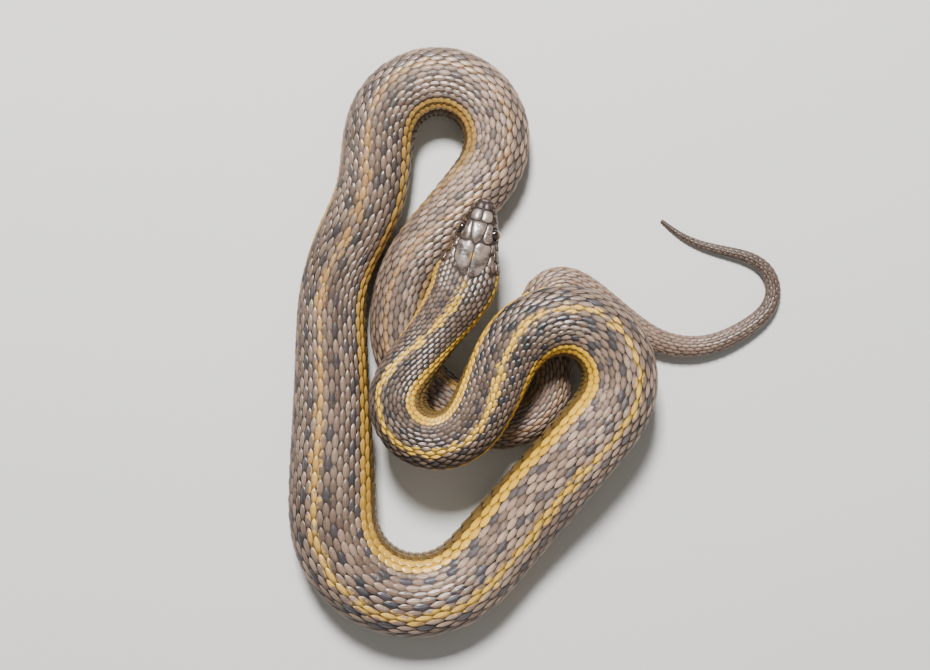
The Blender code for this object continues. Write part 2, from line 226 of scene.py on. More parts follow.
# Grid of one back scale: places across it (-1 to 1) and along it (0 at the root, 1 at the tip).
SCALE_ACROSS = (-1.0, -0.86, -0.62, -0.38, -0.14, 0.0, 0.14, 0.38, 0.62, 0.86, 1.0)
SCALE_ALONG = (0.0, 0.2, 0.38, 0.54, 0.67, 0.78, 0.87, 0.94, 0.98, 1.0)
SCALE_OUTLINE = (
    (0, 0.7), (0.2, 0.9), (0.38, 0.99), (0.54, 1.0), (0.67, 0.96), (0.78, 0.86), (0.87, 0.69),
    (0.94, 0.47), (0.98, 0.27), (1, 0.1),
)
# Keel of a back scale, as shares of its size and of the coat's depth: half width and height, where
# it has risen, where it starts to sink, and how far it sinks.
KEEL_HALF = 0.11
KEEL_HEIGHT = 0.3
KEEL_IN = 0.35
KEEL_OUT = 0.7
KEEL_SINK = 0.85
# Its face: depth of the root, power of the rise, where the tip bends down and by how much, drop and
# power of its sides, swell of each half (place, half width, height), and height of the whole.
ROOT_DEPTH = 0.4
RISE_POWER = 0.9
TIP_BEND = 0.76
TIP_DROP = 0.45
SIDE_DROP = 0.65
SIDE_POWER = 2.4
HALF_SWELL = (0.5, 0.22, 0.08)
SCALE_HEIGHT = 0.85
# Face of a smooth plate: level and rise from the root, drop and power of its sides, and drop of its
# tip with the place where that starts.
PLATE_RISE = (-0.25, 1.05)
PLATE_SIDE = (0.1, 8)
PLATE_TIP = (0.12, 0.86)
PLATE_ACROSS = tuple(np.linspace(-1, 1, 33))
PLATE_ALONG = (0.0, 0.25, 0.5, 0.72, 0.86, 0.95, 1.0)
PLATE_OUTLINE = ((0, 0.97), (0.5, 1.0), (0.72, 0.99), (0.86, 0.97), (0.95, 0.94), (1, 0.9))

# Head shields of the right side, mirrored where they clear the middle: crown and temple shields as
# (distance, length round from the crown's middle), cheek shields as (distance, length up from the
# mouth), chin shields as (distance, length round from the chin's middle).
CROWN_SHIELDS = (
    ((0.15, -1.3), (0.15, 1.3), (1.1, 2.0), (1.1, -2.0)),
    ((1.25, 0.06), (1.25, 1.9), (2.1, 2.3), (3.2, 2.2), (3.3, 0.06)),
    ((3.45, 0.06), (3.35, 2.3), (4.4, 3.1), (6.1, 3.3), (6.7, 2.05), (6.6, 0.06)),
    ((6.75, -1.8), (6.75, 1.8), (7.4, 2.0), (11.2, 1.5), (13.2, 0.0), (11.2, -1.5), (7.4, -2.0)),
    ((6.9, 2.15), (6.7, 3.3), (8.0, 4.4), (9.8, 4.9), (11.8, 4.5), (12.4, 2.8), (11.4, 1.65), (7.5, 2.15)),
    ((13.4, 0.06), (12.0, 1.25), (12.7, 2.8), (12.3, 4.5), (14.2, 4.8), (17.5, 4.6), (20.6, 3.1),
     (21.9, 1.4), (21.4, 0.06)),
)
CHEEK_SHIELDS = (
    ((1.15, 1.75), (2.2, 1.8), (2.2, 3.6), (1.15, 3.3)),
    ((2.32, 1.8), (3.6, 1.85), (3.7, 3.6), (3.1, 3.8), (2.32, 3.6)),
    ((3.72, 1.85), (5.9, 1.9), (6.1, 3.4), (4.5, 3.9), (3.82, 3.6)),
    ((6.0, 1.9), (7.8, 1.9), (7.6, 5.0), (6.7, 4.6), (6.2, 3.6)),
    ((11.4, 1.9), (12.9, 2.1), (13.0, 3.3), (11.5, 3.3)),
    ((11.5, 3.42), (13.0, 3.42), (13.2, 4.6), (11.6, 4.9)),
    ((13.05, 2.2), (15.8, 2.4), (16.4, 3.6), (15.8, 4.9), (13.3, 4.7), (13.15, 3.4)),
    ((16.0, 2.4), (19.2, 2.6), (19.6, 3.6), (19.0, 4.2), (16.5, 4.0), (16.5, 3.5)),
    ((16.1, 4.9), (16.5, 4.15), (19.0, 4.35), (19.6, 5.4), (17.2, 6.3)),
)
TEMPLE_SHIELDS = (
    ((11.9, 4.65), (12.0, 5.9), (13.1, 6.4), (14.4, 6.65), (14.6, 5.0), (13.4, 4.87)),
    ((14.8, 5.0), (14.55, 6.7), (16.1, 6.7), (18.0, 5.75), (17.9, 4.65), (16.7, 4.83)),
)
CHIN_SHIELDS = (
    ((0.5, -0.9), (0.5, 0.9), (1.5, 1.4), (2.2, 0.0), (1.5, -1.4)),
    ((2.4, 0.07), (1.8, 1.4), (5.0, 2.3), (7.4, 1.9), (7.8, 0.07)),
    ((8.0, 0.1), (7.6, 1.9), (9.4, 2.6), (14.6, 2.0), (15.6, 0.8), (14.0, 0.35)),
)
# Lip shields: distances where one meets the next, heights up from the mouth, half the gap along the
# mouth, and the seam between two. Then the spacing of points round any shield.
UPPER_LIP = (1.2, 2.9, 4.7, 6.7, 9.0, 11.3, 13.8, 16.4, 19.4)
LOWER_LIP = (1.5, 3.0, 4.6, 6.4, 8.4, 10.6, 13.0, 15.6, 19.0)
UPPER_LIP_HEIGHT = ((1.2, 1.6), (9, 1.75), (14, 2.05), (19.4, 2.3))
LOWER_LIP_HEIGHT = ((1.2, -1.3), (10, -1.9), (19.4, -2.2))
LIP_EDGE = 0.08
SEAM = 0.12
SHIELD_PITCH = 0.3
# A shield's rings: length in from its outline (or share of the way in, once past the rim), and
# height as a share of the coat's depth, from its sunk underside to its face.
SHIELD_RIM = ((0.0, -0.9), (0.0, 0.05), (0.04, 0.3), (0.12, 0.5), (0.24, 0.62))
SHIELD_FACE = ((0.22, 0.76), (0.45, 0.9), (0.7, 0.97), (0.88, 0.99))
# Rise of its middle over its last ring, least share of its reach that the rim leaves, least number
# of points round it, and the most of a side and the most length that a cut corner takes.
SHIELD_CROWN = 0.01
SHIELD_CORE = 0.4
SHIELD_POINTS = 12
CORNER_CUT = (0.25, 0.45)

# Markings by distance from the snout. Flanks run from 0 on the back's middle to 1 at the belly's edge.
MARKING_COLOURS = ("Ground", "Ground Warm", "Spot", "Back Stripe", "Faded Stripe", "Side Stripe",
                   "Faded Side", "Low Row", "Belly", "Tail")
# Rates of the broad and the fine clouds, and the length that a flank counts for in them.
CLOUD_RATES = (0.11, 0.45)
FLANK_LENGTH = 25
# How far the clouds move the edges of spots and side stripes, and chance the shade of a scale.
RAGGED = 0.9
CHANCE_SWING = 0.12
# Dark spots: spacing in scales, middle rows of their two lines, and strength.
SPOT_SPACING = 2.15
SPOT_ROWS = (2.4, 6.3)
SPOT_STRENGTH = (
    (0, 0.6), (60, 0.7), (120, 1.0), (150, 0.8), (190, 0.75), (215, 0.9), (240, 0.9), (480, 0.5),
    (520, 0.5), (570, 0), (690, 0),
)
# Stripe along the back: half width as a share of the flank, strength, and change to its far colour.
BACK_STRIPE_HALF = (
    (0, 0.04), (30, 0.06), (62, 0.062), (88, 0.07), (110, 0.056), (130, 0.046), (190, 0.052),
    (235, 0.062), (270, 0.055), (430, 0.05), (480, 0.05), (520, 0.065), (690, 0.07),
)
BACK_STRIPE_STRENGTH = (
    (0, 0), (22, 0), (25, 0.45), (32, 1.0), (220, 1.0), (420, 0.5), (480, 0.5), (510, 0.6),
    (600, 0.15), (690, 0),
)
BACK_STRIPE_FADE = ((0, 0), (60, 0), (235, 0.25), (300, 0.85), (400, 1), (690, 1))
# Stripe along each side: rows of its edges, half their blend, rows that it stands higher by,
# strength, and change to its far colour.
STRIPE_ROWS = (7.5, 9.5)
ROW_EDGE = 0.1
SIDE_STRIPE_RISE = ((0, 1), (100, 1), (120, 0), (690, 0))
# Strength is lowered at the neck as painted shade of the side there, and also where the body passes under
# the neck.
SIDE_STRIPE_STRENGTH = (
    (0, 0.5), (45, 0.8), (65, 1), (235, 1), (420, 0.9), (440, 0.4), (480, 0.4), (500, 0.9),
    (590, 0.12), (690, 0.1),
)
SIDE_STRIPE_FADE = ((0, 0), (225, 0), (260, 0.6), (330, 0.9), (690, 1))
# Flanks between which the lowest row's brown, partly painted shade where the side turns under, turns into
# the belly's colour.
BELLY_EDGE = (1.1, 1.4)
# Share of the tail's plain brown, then brightness of the back and of the tail by distance: partly the
# snake's own tone, partly painted light on lit stretches and painted shade on shaded ones.
TAIL_PLAIN = ((0, 0), (515, 0), (600, 1), (690, 1))
TONE_AND_PAINTED_LIGHT = (
    (0, 0.72), (25, 0.7), (36, 0.84), (52, 0.55), (75, 0.76), (100, 0.76), (115, 0.64), (140, 1.25),
    (170, 1.65), (220, 1.65), (245, 1.25), (270, 1.0), (340, 0.83), (385, 0.95), (410, 1.5),
    (450, 1.6), (475, 1.1), (580, 1.1), (690, 1.1),
)
TAIL_TONE_AND_PAINTED_LIGHT = (
    (0, 1), (540, 1), (575, 1.35), (600, 1.15), (622, 0.95), (640, 0.6), (652, 0.48), (690, 0.42),
)
# Distance of the yellow spot on the crown.
YELLOW_SPOT_AT = 16.2
# First seed of the random draws.
SEED = 11

# Tints of the fine mottling within the scales, and how far their roughness goes with it.
MOTTLE = ((1.1, 0.97, 1.0, 1), (0.92, 0.99, 0.9, 1))
ROUGHNESS_SWING = 0.3

# Rates of the noises to a metre: grain of the scales, of the skin between them and of the head
# shields, clouds on the shields, flecks of the iris and soft patches of the floor.
SCALE_GRAIN = 1500.0
SKIN_GRAIN = 1100.0
SHIELD_GRAIN = 2200.0
SHIELD_CLOUDS = 380.0
IRIS_FLECKS = 2600.0
FLOOR_PATCHES = 6.0

# Edges of the head's colours: the snout's red and the lips' ochre by distance, and the cheek, both
# lips, the lower lip alone and the chin by flank.
SNOUT_EDGE = (4.5, 2.5)
OCHRE_EDGE = (11, 13.5)
CHEEK_EDGE = (0.25, 0.31)
LIPS_EDGE = (0.5, 0.56)
LOWER_LIP_EDGE = (0.68, 0.74)
CHIN_EDGE = (0.72, 0.78)

# Eye: black of the pupil and of the far rim, and the edges of the pupil, of the pale ring round it
# and of the rim, as shares of the iris.
PUPIL = (0.002, 0.002, 0.002, 1)
EYE_RIM = (0.01, 0.008, 0.007, 1)
PUPIL_EDGE = (0.42, 0.39)
RING_INNER_EDGE = (0.4, 0.43)
RING_OUTER_EDGE = (0.5, 0.46)
RIM_EDGE = (0.78, 0.95)

# Unwrap of the whole skin: bands of body side by side.
BANDS = 3
PATCH = 0.003

# The view: the point on the ground under the camera, the camera's height, the width of ground that
# it sees, its sensor's width, and the nearest place that it sees, in metres.
VIEW_CENTRE = (-19.8, 1.9)
VIEW_HEIGHT = 420.0
VIEW_WIDTH = 260.4
SENSOR = 36.0
CLIP_START = 0.01

# Lamps: their side and their place, in metres.
KEY_LAMP = (0.22, (-0.12, 0.62, 0.85))
FILL_LAMP = (0.6, (0.3, -0.6, 0.7))


def read_profile(profile, at):
    """Value of a (distance, value) profile at one or many distances."""
    return np.interp(at, *zip(*profile))


def belt(bends):
    """Points of the straight runs and arcs that pass round the bends."""
    headings = []
    for (x1, y1, r1, turn1), (x2, y2, r2, turn2) in zip(bends, bends[1:]):
        swing = math.asin((turn2 * r2 - turn1 * r1) / math.hypot(x2 - x1, y2 - y1))
        headings.append(math.atan2(y2 - y1, x2 - x1) - swing)
    points = [bends[0][:2]]
    for (x, y, radius, turn), before, after in zip(bends[1:-1], headings, headings[1:]):
        sweep = (after - before) * turn % math.tau
        if sweep > 0.95 * math.tau:
            sweep -= math.tau
        for share in np.linspace(0, 1, max(2, int(abs(sweep) * radius / STEP) + 1)):
            angle = before + turn * sweep * share
            points.append((x + turn * radius * math.sin(angle), y - turn * radius * math.cos(angle)))
    points.append(bends[-1][:2])
    return np.array(points)


def run_length(points):
    """Distance along a line to each of its points."""
    return np.r_[0, np.cumsum(np.hypot(*np.diff(points, axis=0).T))]


def respace(points):
    """The same line with points one step apart."""
    run = run_length(points)
    even = np.linspace(0, run[-1], round(run[-1] / STEP) + 1)
    return np.column_stack([np.interp(even, run, column) for column in points.T])


def soften(values, blend):
    """Blend a row of values with its neighbours, keeping its two ends."""
    reach = int(4 * blend / STEP)
    weights = np.exp(-0.5 * (np.arange(-reach, reach + 1) * STEP / blend) ** 2)
    weights /= weights.sum()
    before = 2 * values[0] - values[reach:0:-1]
    after = 2 * values[-1] - values[-2:-reach - 2:-1]
    return np.convolve(np.r_[before, values, after], weights, "valid")


def section(width, floor, waist, top, sides, squareness=2.0):
    """Outline across the body: places across it and levels, from the middle of the back round."""
    angle = math.tau * (np.arange(sides) / sides + 0.25)
    cosine, sine = np.cos(angle), np.sin(angle)
    power = 2 / squareness
    across = width / 2 * np.sign(cosine) * np.abs(cosine) ** power
    upper = waist + (top - waist) * np.abs(sine) ** power
    lower = waist - (waist - floor) * BELLY_DROP * np.abs(sine) ** (BELLY_POWER * power)
    return across, np.where(sine >= 0, upper, np.maximum(lower, floor))


def head_section(at, sides):
    """Section of the head, which turns into the neck's own section behind the mouth."""
    share = max(0.0, (at - MOUTH_CORNER) / (HEAD_END - MOUTH_CORNER))
    top = read_profile(HEAD_TOP, at)
    waist = (1 - share) * (read_profile(MOUTH, at) + LIP_BULGE) + share * WAIST * top
    squareness = (1 - share) * HEAD_SQUARENESS + share * 2.0
    chin = read_profile(HEAD_CHIN, at)
    return section(read_profile(HEAD_WIDTH, at), chin, waist, top, sides, squareness)


def blend_rows(rows, at):
    """Rows of a table blended along the head, less and less towards the snout and the neck."""
    near = at < 2 * HEAD_END
    places = at[near]
    spread = np.interp(places, (0, 3, 30, 2 * HEAD_END), (0.02, HEAD_BLEND, HEAD_BLEND, 0.02))
    weights = np.exp(-0.5 * ((places[:, None] - places) / spread[:, None]) ** 2)
    weights /= weights.sum(axis=1, keepdims=True)
    blended = rows.copy()
    blended[near] = weights @ rows[near]
    return blended


def read_table(table, row, column):
    """Value of a table at fractional rows and columns."""
    low_row = np.clip(row.astype(int), 0, table.shape[0] - 2)
    low_column = np.clip(column.astype(int), 0, table.shape[1] - 2)
    down, onward = row - low_row, column - low_column
    near = table[low_row, low_column] * (1 - onward) + table[low_row, low_column + 1] * onward
    far = table[low_row + 1, low_column] * (1 - onward) + table[low_row + 1, low_column + 1] * onward
    return near * (1 - down) + far * down


def hollow(distance, dent):
    """Depth of a dent at a distance from its line or middle."""
    depth, half = dent
    return depth * np.exp(-(distance / half) ** 2)


class Surface:
    """The snake's own shape, by distance from the snout and share of the girth."""

    def __init__(self):
        bent = respace(belt(BENDS))
        self.points = respace(np.column_stack([soften(column, BEND_BLEND) for column in bent.T]))
        self.run = run_length(self.points)
        self.length = self.run[-1]
        onward = np.gradient(self.points, axis=0)
        self.right = np.column_stack([-onward[:, 1], onward[:, 0]])
        self.right /= np.hypot(*self.right.T)[:, None]
        self.width = soften(read_profile(WIDTH, self.run), PROFILE_BLEND)
        self.height = self.width * read_profile(ROUNDNESS, self.run)
        self.belly = soften(read_profile(BELLY, self.run), PROFILE_BLEND)
        self.belly[self.run >= GROUND_FROM] = 0.0
        self.roll = soften(read_profile(ROLL, self.run), ROLL_BLEND) / 360
        self.roll[self.run < ROLL[0][0]] = 0.0
        self.sample()

    def half_outline(self, at):
        """Half the girth, and evenly spaced places across and levels from the back to the belly."""
        if at < HEAD_END:
            across, level = head_section(at, 2 * HALF_SAMPLES)
        else:
            width = np.interp(at, self.run, self.width)
            height = np.interp(at, self.run, self.height)
            across, level = section(width, 0, WAIST * height, height, 2 * HALF_SAMPLES)
        across, level = np.abs(across[:HALF_SAMPLES + 1]), level[:HALF_SAMPLES + 1]
        length = np.r_[0, np.cumsum(np.hypot(np.diff(across), np.diff(level)))]
        even = np.linspace(0, length[-1], GIRTH_STEPS + 1)
        return length[-1], np.interp(even, length, across), np.interp(even, length, level)

    def sample(self):
        """Tables of the outline for rings all along the body."""
        self.at = np.arange(0, self.length + RING_STEP, RING_STEP)
        halves, across, level = zip(*(self.half_outline(at) for at in self.at))
        self.girths = 2 * blend_rows(np.array(halves)[:, None], self.at)[:, 0]
        self.across = blend_rows(np.array(across), self.at)
        self.levels = blend_rows(np.array(level), self.at)

    def girth(self, at):
        return np.interp(at, self.at, self.girths)

    def local(self, at, around):
        """Place across the body and level over its belly."""
        share = around + np.interp(at, self.run, self.roll)
        share = (share + 0.5) % 1 - 0.5
        row, column = at / RING_STEP, np.abs(share) * 2 * GIRTH_STEPS
        across = np.sign(share) * read_table(self.across, row, column)
        return across, read_table(self.levels, row, column)

    def world(self, at, across, level):
        """Point in the part's frame from a place in the section at a distance."""
        x, y = (np.interp(at, self.run, column) for column in self.points.T)
        right_x, right_y = (np.interp(at, self.run, column) for column in self.right.T)
        belly = np.interp(at, self.run, self.belly)
        return np.stack([x + across * right_x, y + across * right_y, belly + level], axis=-1)

    def spot(self, at, around):
        """Point of the solid's surface."""
        at, around = np.broadcast_arrays(np.clip(at, 0, self.length), around)
        return self.world(at, *self.local(at, around))

    def slopes(self, at, around):
        """Steps of the surface for a millimetre along the body and for the whole girth round it."""
        before, after = np.clip(at - NUDGE, 0, None), np.clip(at + NUDGE, None, self.length)
        along = (self.spot(after, around) - self.spot(before, around)) / (after - before)[..., None]
        turn = NUDGE / self.girth(at)
        round_it = (self.spot(at, around + turn) - self.spot(at, around - turn)) / (2 * turn)[..., None]
        return along, round_it

    def dent(self, at, around):
        """Depth of the mouth line, the nostrils and the crease round the eyes."""
        across, level = self.local(np.clip(at, 0, self.length), around)
        place = np.stack([at, np.abs(across), level], axis=-1)
        to_nostril, to_eye = (np.linalg.norm(place - middle[:3], axis=-1) for middle in (NOSTRIL, EYE))
        open_mouth = np.clip((MOUTH_CORNER + MOUTH_FADE / 2 - at) / MOUTH_FADE, 0, 1)
        line = open_mouth * hollow(level - read_profile(MOUTH, at), MOUTH_DENT)
        return line + hollow(to_nostril, NOSTRIL_DENT) + hollow(to_eye - EYE[3], EYE_DENT)

    def point(self, at, around, lift):
        """Point over the skin, in the direction out of it."""
        at, around, lift = np.broadcast_arrays(*map(np.asarray, (at, around, lift)))
        inside = np.clip(at, 0.0, self.length)
        along, round_it = self.slopes(inside, around)
        normal = np.cross(along, round_it)
        normal /= np.linalg.norm(normal, axis=-1, keepdims=True)
        out = lift - read_profile(COAT, inside)
        near_head = inside < HEAD_END
        out = np.where(near_head, out - self.dent(inside, around), out)
        return self.spot(inside, around) + normal * out[..., None]

    def stretch(self, at, around):
        """Length on the surface of a millimetre of the course."""
        along, _ = self.slopes(np.asarray(at, float), np.asarray(around, float))
        return np.linalg.norm(along, axis=-1)

    def unwrap(self, at, around):
        """Place on the unwrap of the skin: bands of equal length side by side."""
        reach = np.clip(at / self.length, 0, 0.9999) * BANDS
        band = np.floor(reach)
        return np.stack([reach - band, (band + 0.5 + 0.9 * around) / BANDS], axis=-1)


def find_surface():
    """The one surface that every piece is set on, measured once."""
    if not hasattr(find_surface, "made"):
        find_surface.made = Surface()
    return find_surface.made


def ring_count(at):
    """Number of scale lengths from the snout to each of evenly spaced distances."""
    return np.cumsum(RING_STEP / read_profile(SCALE_PITCH, at))


class Rows:
    """Rows of back scales: their places round the body and the spacing along it."""

    def __init__(self, surface):
        self.at = surface.at
        self.count = ring_count(self.at)
        ends = np.array([ROW_ENDS.get(row, math.inf) for row in range(len(ROW_WIDTHS))])
        self.fades = np.clip((ends[:, None] - self.at) / ROW_FADE, 0, 1)
        widths = np.array(ROW_WIDTHS)[:, None] * self.fades
        widths[0] /= 2
        edges = np.cumsum(widths, axis=0)
        total = edges[-1]
        self.inner = np.vstack([np.zeros_like(total), edges[:-1]]) / total
        self.outer = edges / total
        self.inner[0] = -self.outer[0]
        self.phases = 0.5 * np.vstack([np.zeros_like(total), np.cumsum(self.fades[1:], axis=0)])

    def roots(self, row):
        """Distances of the roots of a row's scales, for as long as the row is there."""
        steps = self.count - self.phases[row]
        numbers = np.arange(math.ceil(steps[0]), math.floor(steps[-1]))
        at = np.interp(numbers, steps, self.at)
        there = np.interp(at, self.at, self.fades[row]) > ROW_STOP
        return at[there & (at > FIRST_SCALE)]

    def flank(self, row, at):
        """A row's middle and half width, where 0 is the back's middle and 1 the belly's edge."""
        inner = np.interp(at, self.at, self.inner[row])
        outer = np.interp(at, self.at, self.outer[row])
        return (inner + outer) / 2, (outer - inner) / 2


def face_arrays(faces):
    """Corners of all faces in one row, and the number of corners of each."""
    return np.array([corner for face in faces for corner in face]), np.array([len(face) for face in faces])


def scale_faces(across, along):
    """Face corners and their numbers for one closed scale over its grid.

    Its points are the grid's, then the underside's left and right edges.
    """
    wide, long = len(across), len(along)
    top = np.arange(wide * long).reshape(wide, long)
    left = wide * long + np.arange(long)
    right = left + long
    faces = []
    for i in range(wide - 1):
        faces += [(top[i, j], top[i, j + 1], top[i + 1, j + 1], top[i + 1, j]) for j in range(long - 1)]
    for j in range(long - 1):
        faces.append((top[0, j], left[j], left[j + 1], top[0, j + 1]))
        faces.append((top[-1, j], top[-1, j + 1], right[j + 1], right[j]))
        faces.append((left[j], right[j], right[j + 1], left[j + 1]))
    faces.append((*top[:, 0], right[0], left[0]))
    faces.append((left[-1], right[-1], *top[::-1, -1]))
    return face_arrays(faces)


def build_mesh(name, points, corners, counts):
    """Smooth-shaded mesh from points in millimetres and rows of face corners."""
    mesh = bpy.data.meshes.new(name)
    mesh.vertices.add(len(points))
    mesh.vertices.foreach_set("co", (points * MM).astype(np.float32).ravel())
    mesh.loops.add(len(corners))
    mesh.loops.foreach_set("vertex_index", corners.astype(np.int32))
    mesh.polygons.add(len(counts))
    mesh.polygons.foreach_set("loop_start", np.r_[0, np.cumsum(counts)[:-1]].astype(np.int32))
    mesh.update(calc_edges=True)
    mesh.shade_smooth()
    return mesh


def write_mark(mesh, domain, label, vectors):
    """Vectors that the materials read.

    Place is (distance, flank, chance), within is the place in one scale, shield or eye, and lattice
    is (number of the scale in its row, number of the row).
    """
    layer = mesh.attributes.new(label, "FLOAT_VECTOR", domain)
    layer.data.foreach_set("vector", vectors.astype(np.float32).ravel())


def write_map(mesh, places):
    """UV map for baking, from a place for each face corner."""
    layer = mesh.uv_layers.new(name="OFBake")
    layer.data.foreach_set("uv", places.astype(np.float32).ravel())


def add_piece(name, mesh, material):
    """Object for a finished mesh, which rides on the model's one body."""
    mesh.materials.append(material)
    piece = bpy.data.objects.new(name, mesh)
    bpy.context.scene.collection.objects.link(piece)
    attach(piece, "root")
    return piece


class ScaleForm:
    """Form of one kind of scale, which makes a mesh of a set of them.

    A set is a dictionary of arrays: roots (at, around), half widths, lengths, lifts, leans, chances
    and places in the lattice. Graded scales change their row over their own width, as wide plates
    reach over several.
    """

    def __init__(self, grid, outline, shape, thick, graded=False):
        self.across, self.along = (np.array(side) for side in grid)
        self.outline = outline
        self.shape = shape
        self.thick = thick
        self.graded = graded

    def points(self, surface, sets):
        """Points of all scales (scale, point, xyz), with their marks."""
        x, y = (side.ravel() for side in np.meshgrid(self.across, self.along, indexing="ij"))
        edge_x = np.repeat((-1.0, 1.0), len(self.along))
        edge_y = np.tile(self.along, 2)
        lift_top = self.shape(x, y)
        lift_under = self.shape(edge_x, edge_y) - self.thick
        all_x, all_y = np.r_[x, edge_x], np.r_[y, edge_y]
        narrow = read_profile(self.outline, all_y)
        at = sets["at"][:, None] + all_y * sets["length"][:, None]
        around = sets["around"][:, None] + sets["lean"][:, None] * all_y
        around = around + all_x * narrow * sets["half"][:, None]
        lift = np.r_[lift_top, lift_under] * sets["lift"][:, None]
        flank = around_to_flank((around + 0.5) % 1 - 0.5, at)
        chance, ring, row = (sets[key][:, None] for key in ("chance", "ring", "row"))
        if self.graded:
            row = len(ROW_WIDTHS) * flank
        marks = {
            "place": (at, flank, chance),
            "within": (all_x, all_y, np.zeros_like(all_x)),
            "lattice": (ring, row, np.zeros_like(all_x)),
        }
        return surface.point(at, around, lift), marks

    def mesh(self, name, surface, sets):
        """One joined mesh of closed scales with their marks and bake map."""
        points, marks = self.points(surface, sets)
        number, size = points.shape[:2]
        corners, counts = scale_faces(self.across, self.along)
        all_corners = (corners + size * np.arange(number)[:, None]).ravel()
        mesh = build_mesh(name, points.reshape(-1, 3), all_corners, np.tile(counts, number))
        for label, sides in marks.items():
            sides = [np.broadcast_to(side, (number, size)).ravel() for side in sides]
            write_mark(mesh, "POINT", label, np.column_stack(sides))
        patch = PATCH * 0.5 * np.column_stack([marks["within"][0], 2 * marks["within"][1] - 1])
        roots = surface.unwrap(sets["at"], sets["around"])
        write_map(mesh, (roots[:, None] + patch[corners]).reshape(-1, 2))
        return mesh


def past(y, start):
    """Curve from 0 at a place along a scale to 1 at its tip."""
    return np.clip((y - start) / (1 - start), 0, 1) ** 2


def scale_shape(x, y):
    """Height of a keeled scale as a share of the coat: sunk root, raised tip, keel, low sides."""
    fade = np.clip(y / KEEL_IN, 0, 1) * (1 - KEEL_SINK * past(y, KEEL_OUT))
    rise = np.clip(y / TIP_BEND, 0, 1) ** RISE_POWER - ROOT_DEPTH - TIP_DROP * past(y, TIP_BEND)
    keel = KEEL_HEIGHT * np.exp(-(x / KEEL_HALF) ** 2)
    place, half, height = HALF_SWELL
    swell = height * np.exp(-((np.abs(x) - place) / half) ** 2)
    return SCALE_HEIGHT * (rise - SIDE_DROP * np.abs(x) ** SIDE_POWER + fade * (keel + swell))


def smooth_shape(x, y):
    """Height of a belly plate as a share of the coat: like a scale's, without the keel."""
    root, rise = PLATE_RISE
    side, power = PLATE_SIDE
    tip, bend = PLATE_TIP
    return root + rise * y - side * np.abs(x) ** power - tip * past(y, bend)


def vary(draws, number, amount):
    """Factors round one that differ a little from scale to scale."""
    return 1 + amount * draws.uniform(-1, 1, number)


def in_outline(at, arc, outline):
    """Which of the points lie inside a closed outline."""
    inside = np.zeros(np.shape(at), bool)
    for (x1, y1), (x2, y2) in zip(outline, outline[1:] + outline[:1]):
        crosses = (y1 > arc) != (y2 > arc)
        if y1 != y2:
            inside ^= crosses & (at < (x2 - x1) * (arc - y1) / (y2 - y1) + x1)
    return inside


def grow(outline, amount):
    """Outline with its corners moved out from the middle."""
    middle = np.mean(outline, axis=0)
    moved = []
    for corner in np.array(outline):
        away = corner - middle
        moved.append(tuple(middle + away * (1 + amount / np.hypot(*away))))
    return moved


class Shields:
    """Outlines of the head shields, as (distance, length round from the crown's middle)."""

    def __init__(self, surface):
        self.surface = surface
        right = [list(outline) for outline in CROWN_SHIELDS + TEMPLE_SHIELDS]
        right += [[(at, self.lip(at) - up) for at, up in outline] for outline in CHEEK_SHIELDS]
        right += [[(at, surface.girth(at) / 2 - up) for at, up in outline] for outline in CHIN_SHIELDS]
        right += self.lip_row(UPPER_LIP, UPPER_LIP_HEIGHT, LIP_EDGE)
        right += self.lip_row(LOWER_LIP, LOWER_LIP_HEIGHT, -LIP_EDGE)
        self.outlines = []
        for outline in right:
            self.outlines.append(outline)
            arcs = [arc / self.surface.girth(at) for at, arc in outline]
            if min(arcs) > 0 and max(arcs) < 0.5:
                self.outlines.append([(at, -arc) for at, arc in outline])

    def lip(self, at):
        """Length round from the crown's middle to the line of the mouth."""
        shares = np.linspace(0, 0.5, GIRTH_STEPS + 1)
        _, level = self.surface.local(np.full_like(shares, at), shares)
        return np.interp(-read_profile(MOUTH, at), -level, shares) * self.surface.girth(at)

    def lip_row(self, edges, heights, rim):
        """Outlines of a row of shields along the mouth."""
        outlines = []
        for start, stop in zip(edges, edges[1:]):
            first, last = start + SEAM / 2, stop - SEAM / 2
            middle = (first + last) / 2
            corners = ((first, rim), (middle, rim), (last, rim), (last, read_profile(heights, last)),
                       (first, read_profile(heights, first)))
            outlines.append([(at, self.lip(at) - up) for at, up in corners])
        return outlines

    def covers(self, at, around):
        """Which places on the head lie under a shield."""
        arc = around * self.surface.girth(at)
        covered = np.zeros(np.shape(at), bool)
        for outline in self.outlines:
            covered |= in_outline(at, arc, grow(outline, SHIELD_CLEARANCE))
        return covered


def cut_corners(outline, rounds=2):
    """Outline with its corners rounded."""
    points = np.array(outline)
    most, length = CORNER_CUT
    for _ in range(rounds):
        after = np.roll(points, -1, axis=0)
        side = after - points
        cut = side * np.minimum(most, length / np.maximum(np.hypot(*side.T), 0.01))[:, None]
        points = np.stack([points + cut, after - cut], axis=1).reshape(-1, 2)
    return points


def walk_round(outline, pitch):
    """Points evenly spaced round an outline."""
    closed = np.vstack([outline, outline[:1]])
    run = run_length(closed)
    even = np.linspace(0, run[-1], max(SHIELD_POINTS, round(run[-1] / pitch)) + 1)[:-1]
    return np.column_stack([np.interp(even, run, column) for column in closed.T])


def shield_rings(outline):
    """Rings of one shield, from its sunk rim to near its middle, then height shares and the middle."""
    rim = walk_round(cut_corners(outline), SHIELD_PITCH)
    middle = rim.mean(axis=0)
    away = rim - middle
    reach = np.hypot(*away.T)[:, None]
    rings = [middle + away * np.maximum(1 - inset / reach, SHIELD_CORE) for inset, _ in SHIELD_RIM]
    last = rings[-1] - middle
    rings += [middle + last * (1 - share) for share, _ in SHIELD_FACE]
    return rings, [lift for _, lift in SHIELD_RIM + SHIELD_FACE], middle


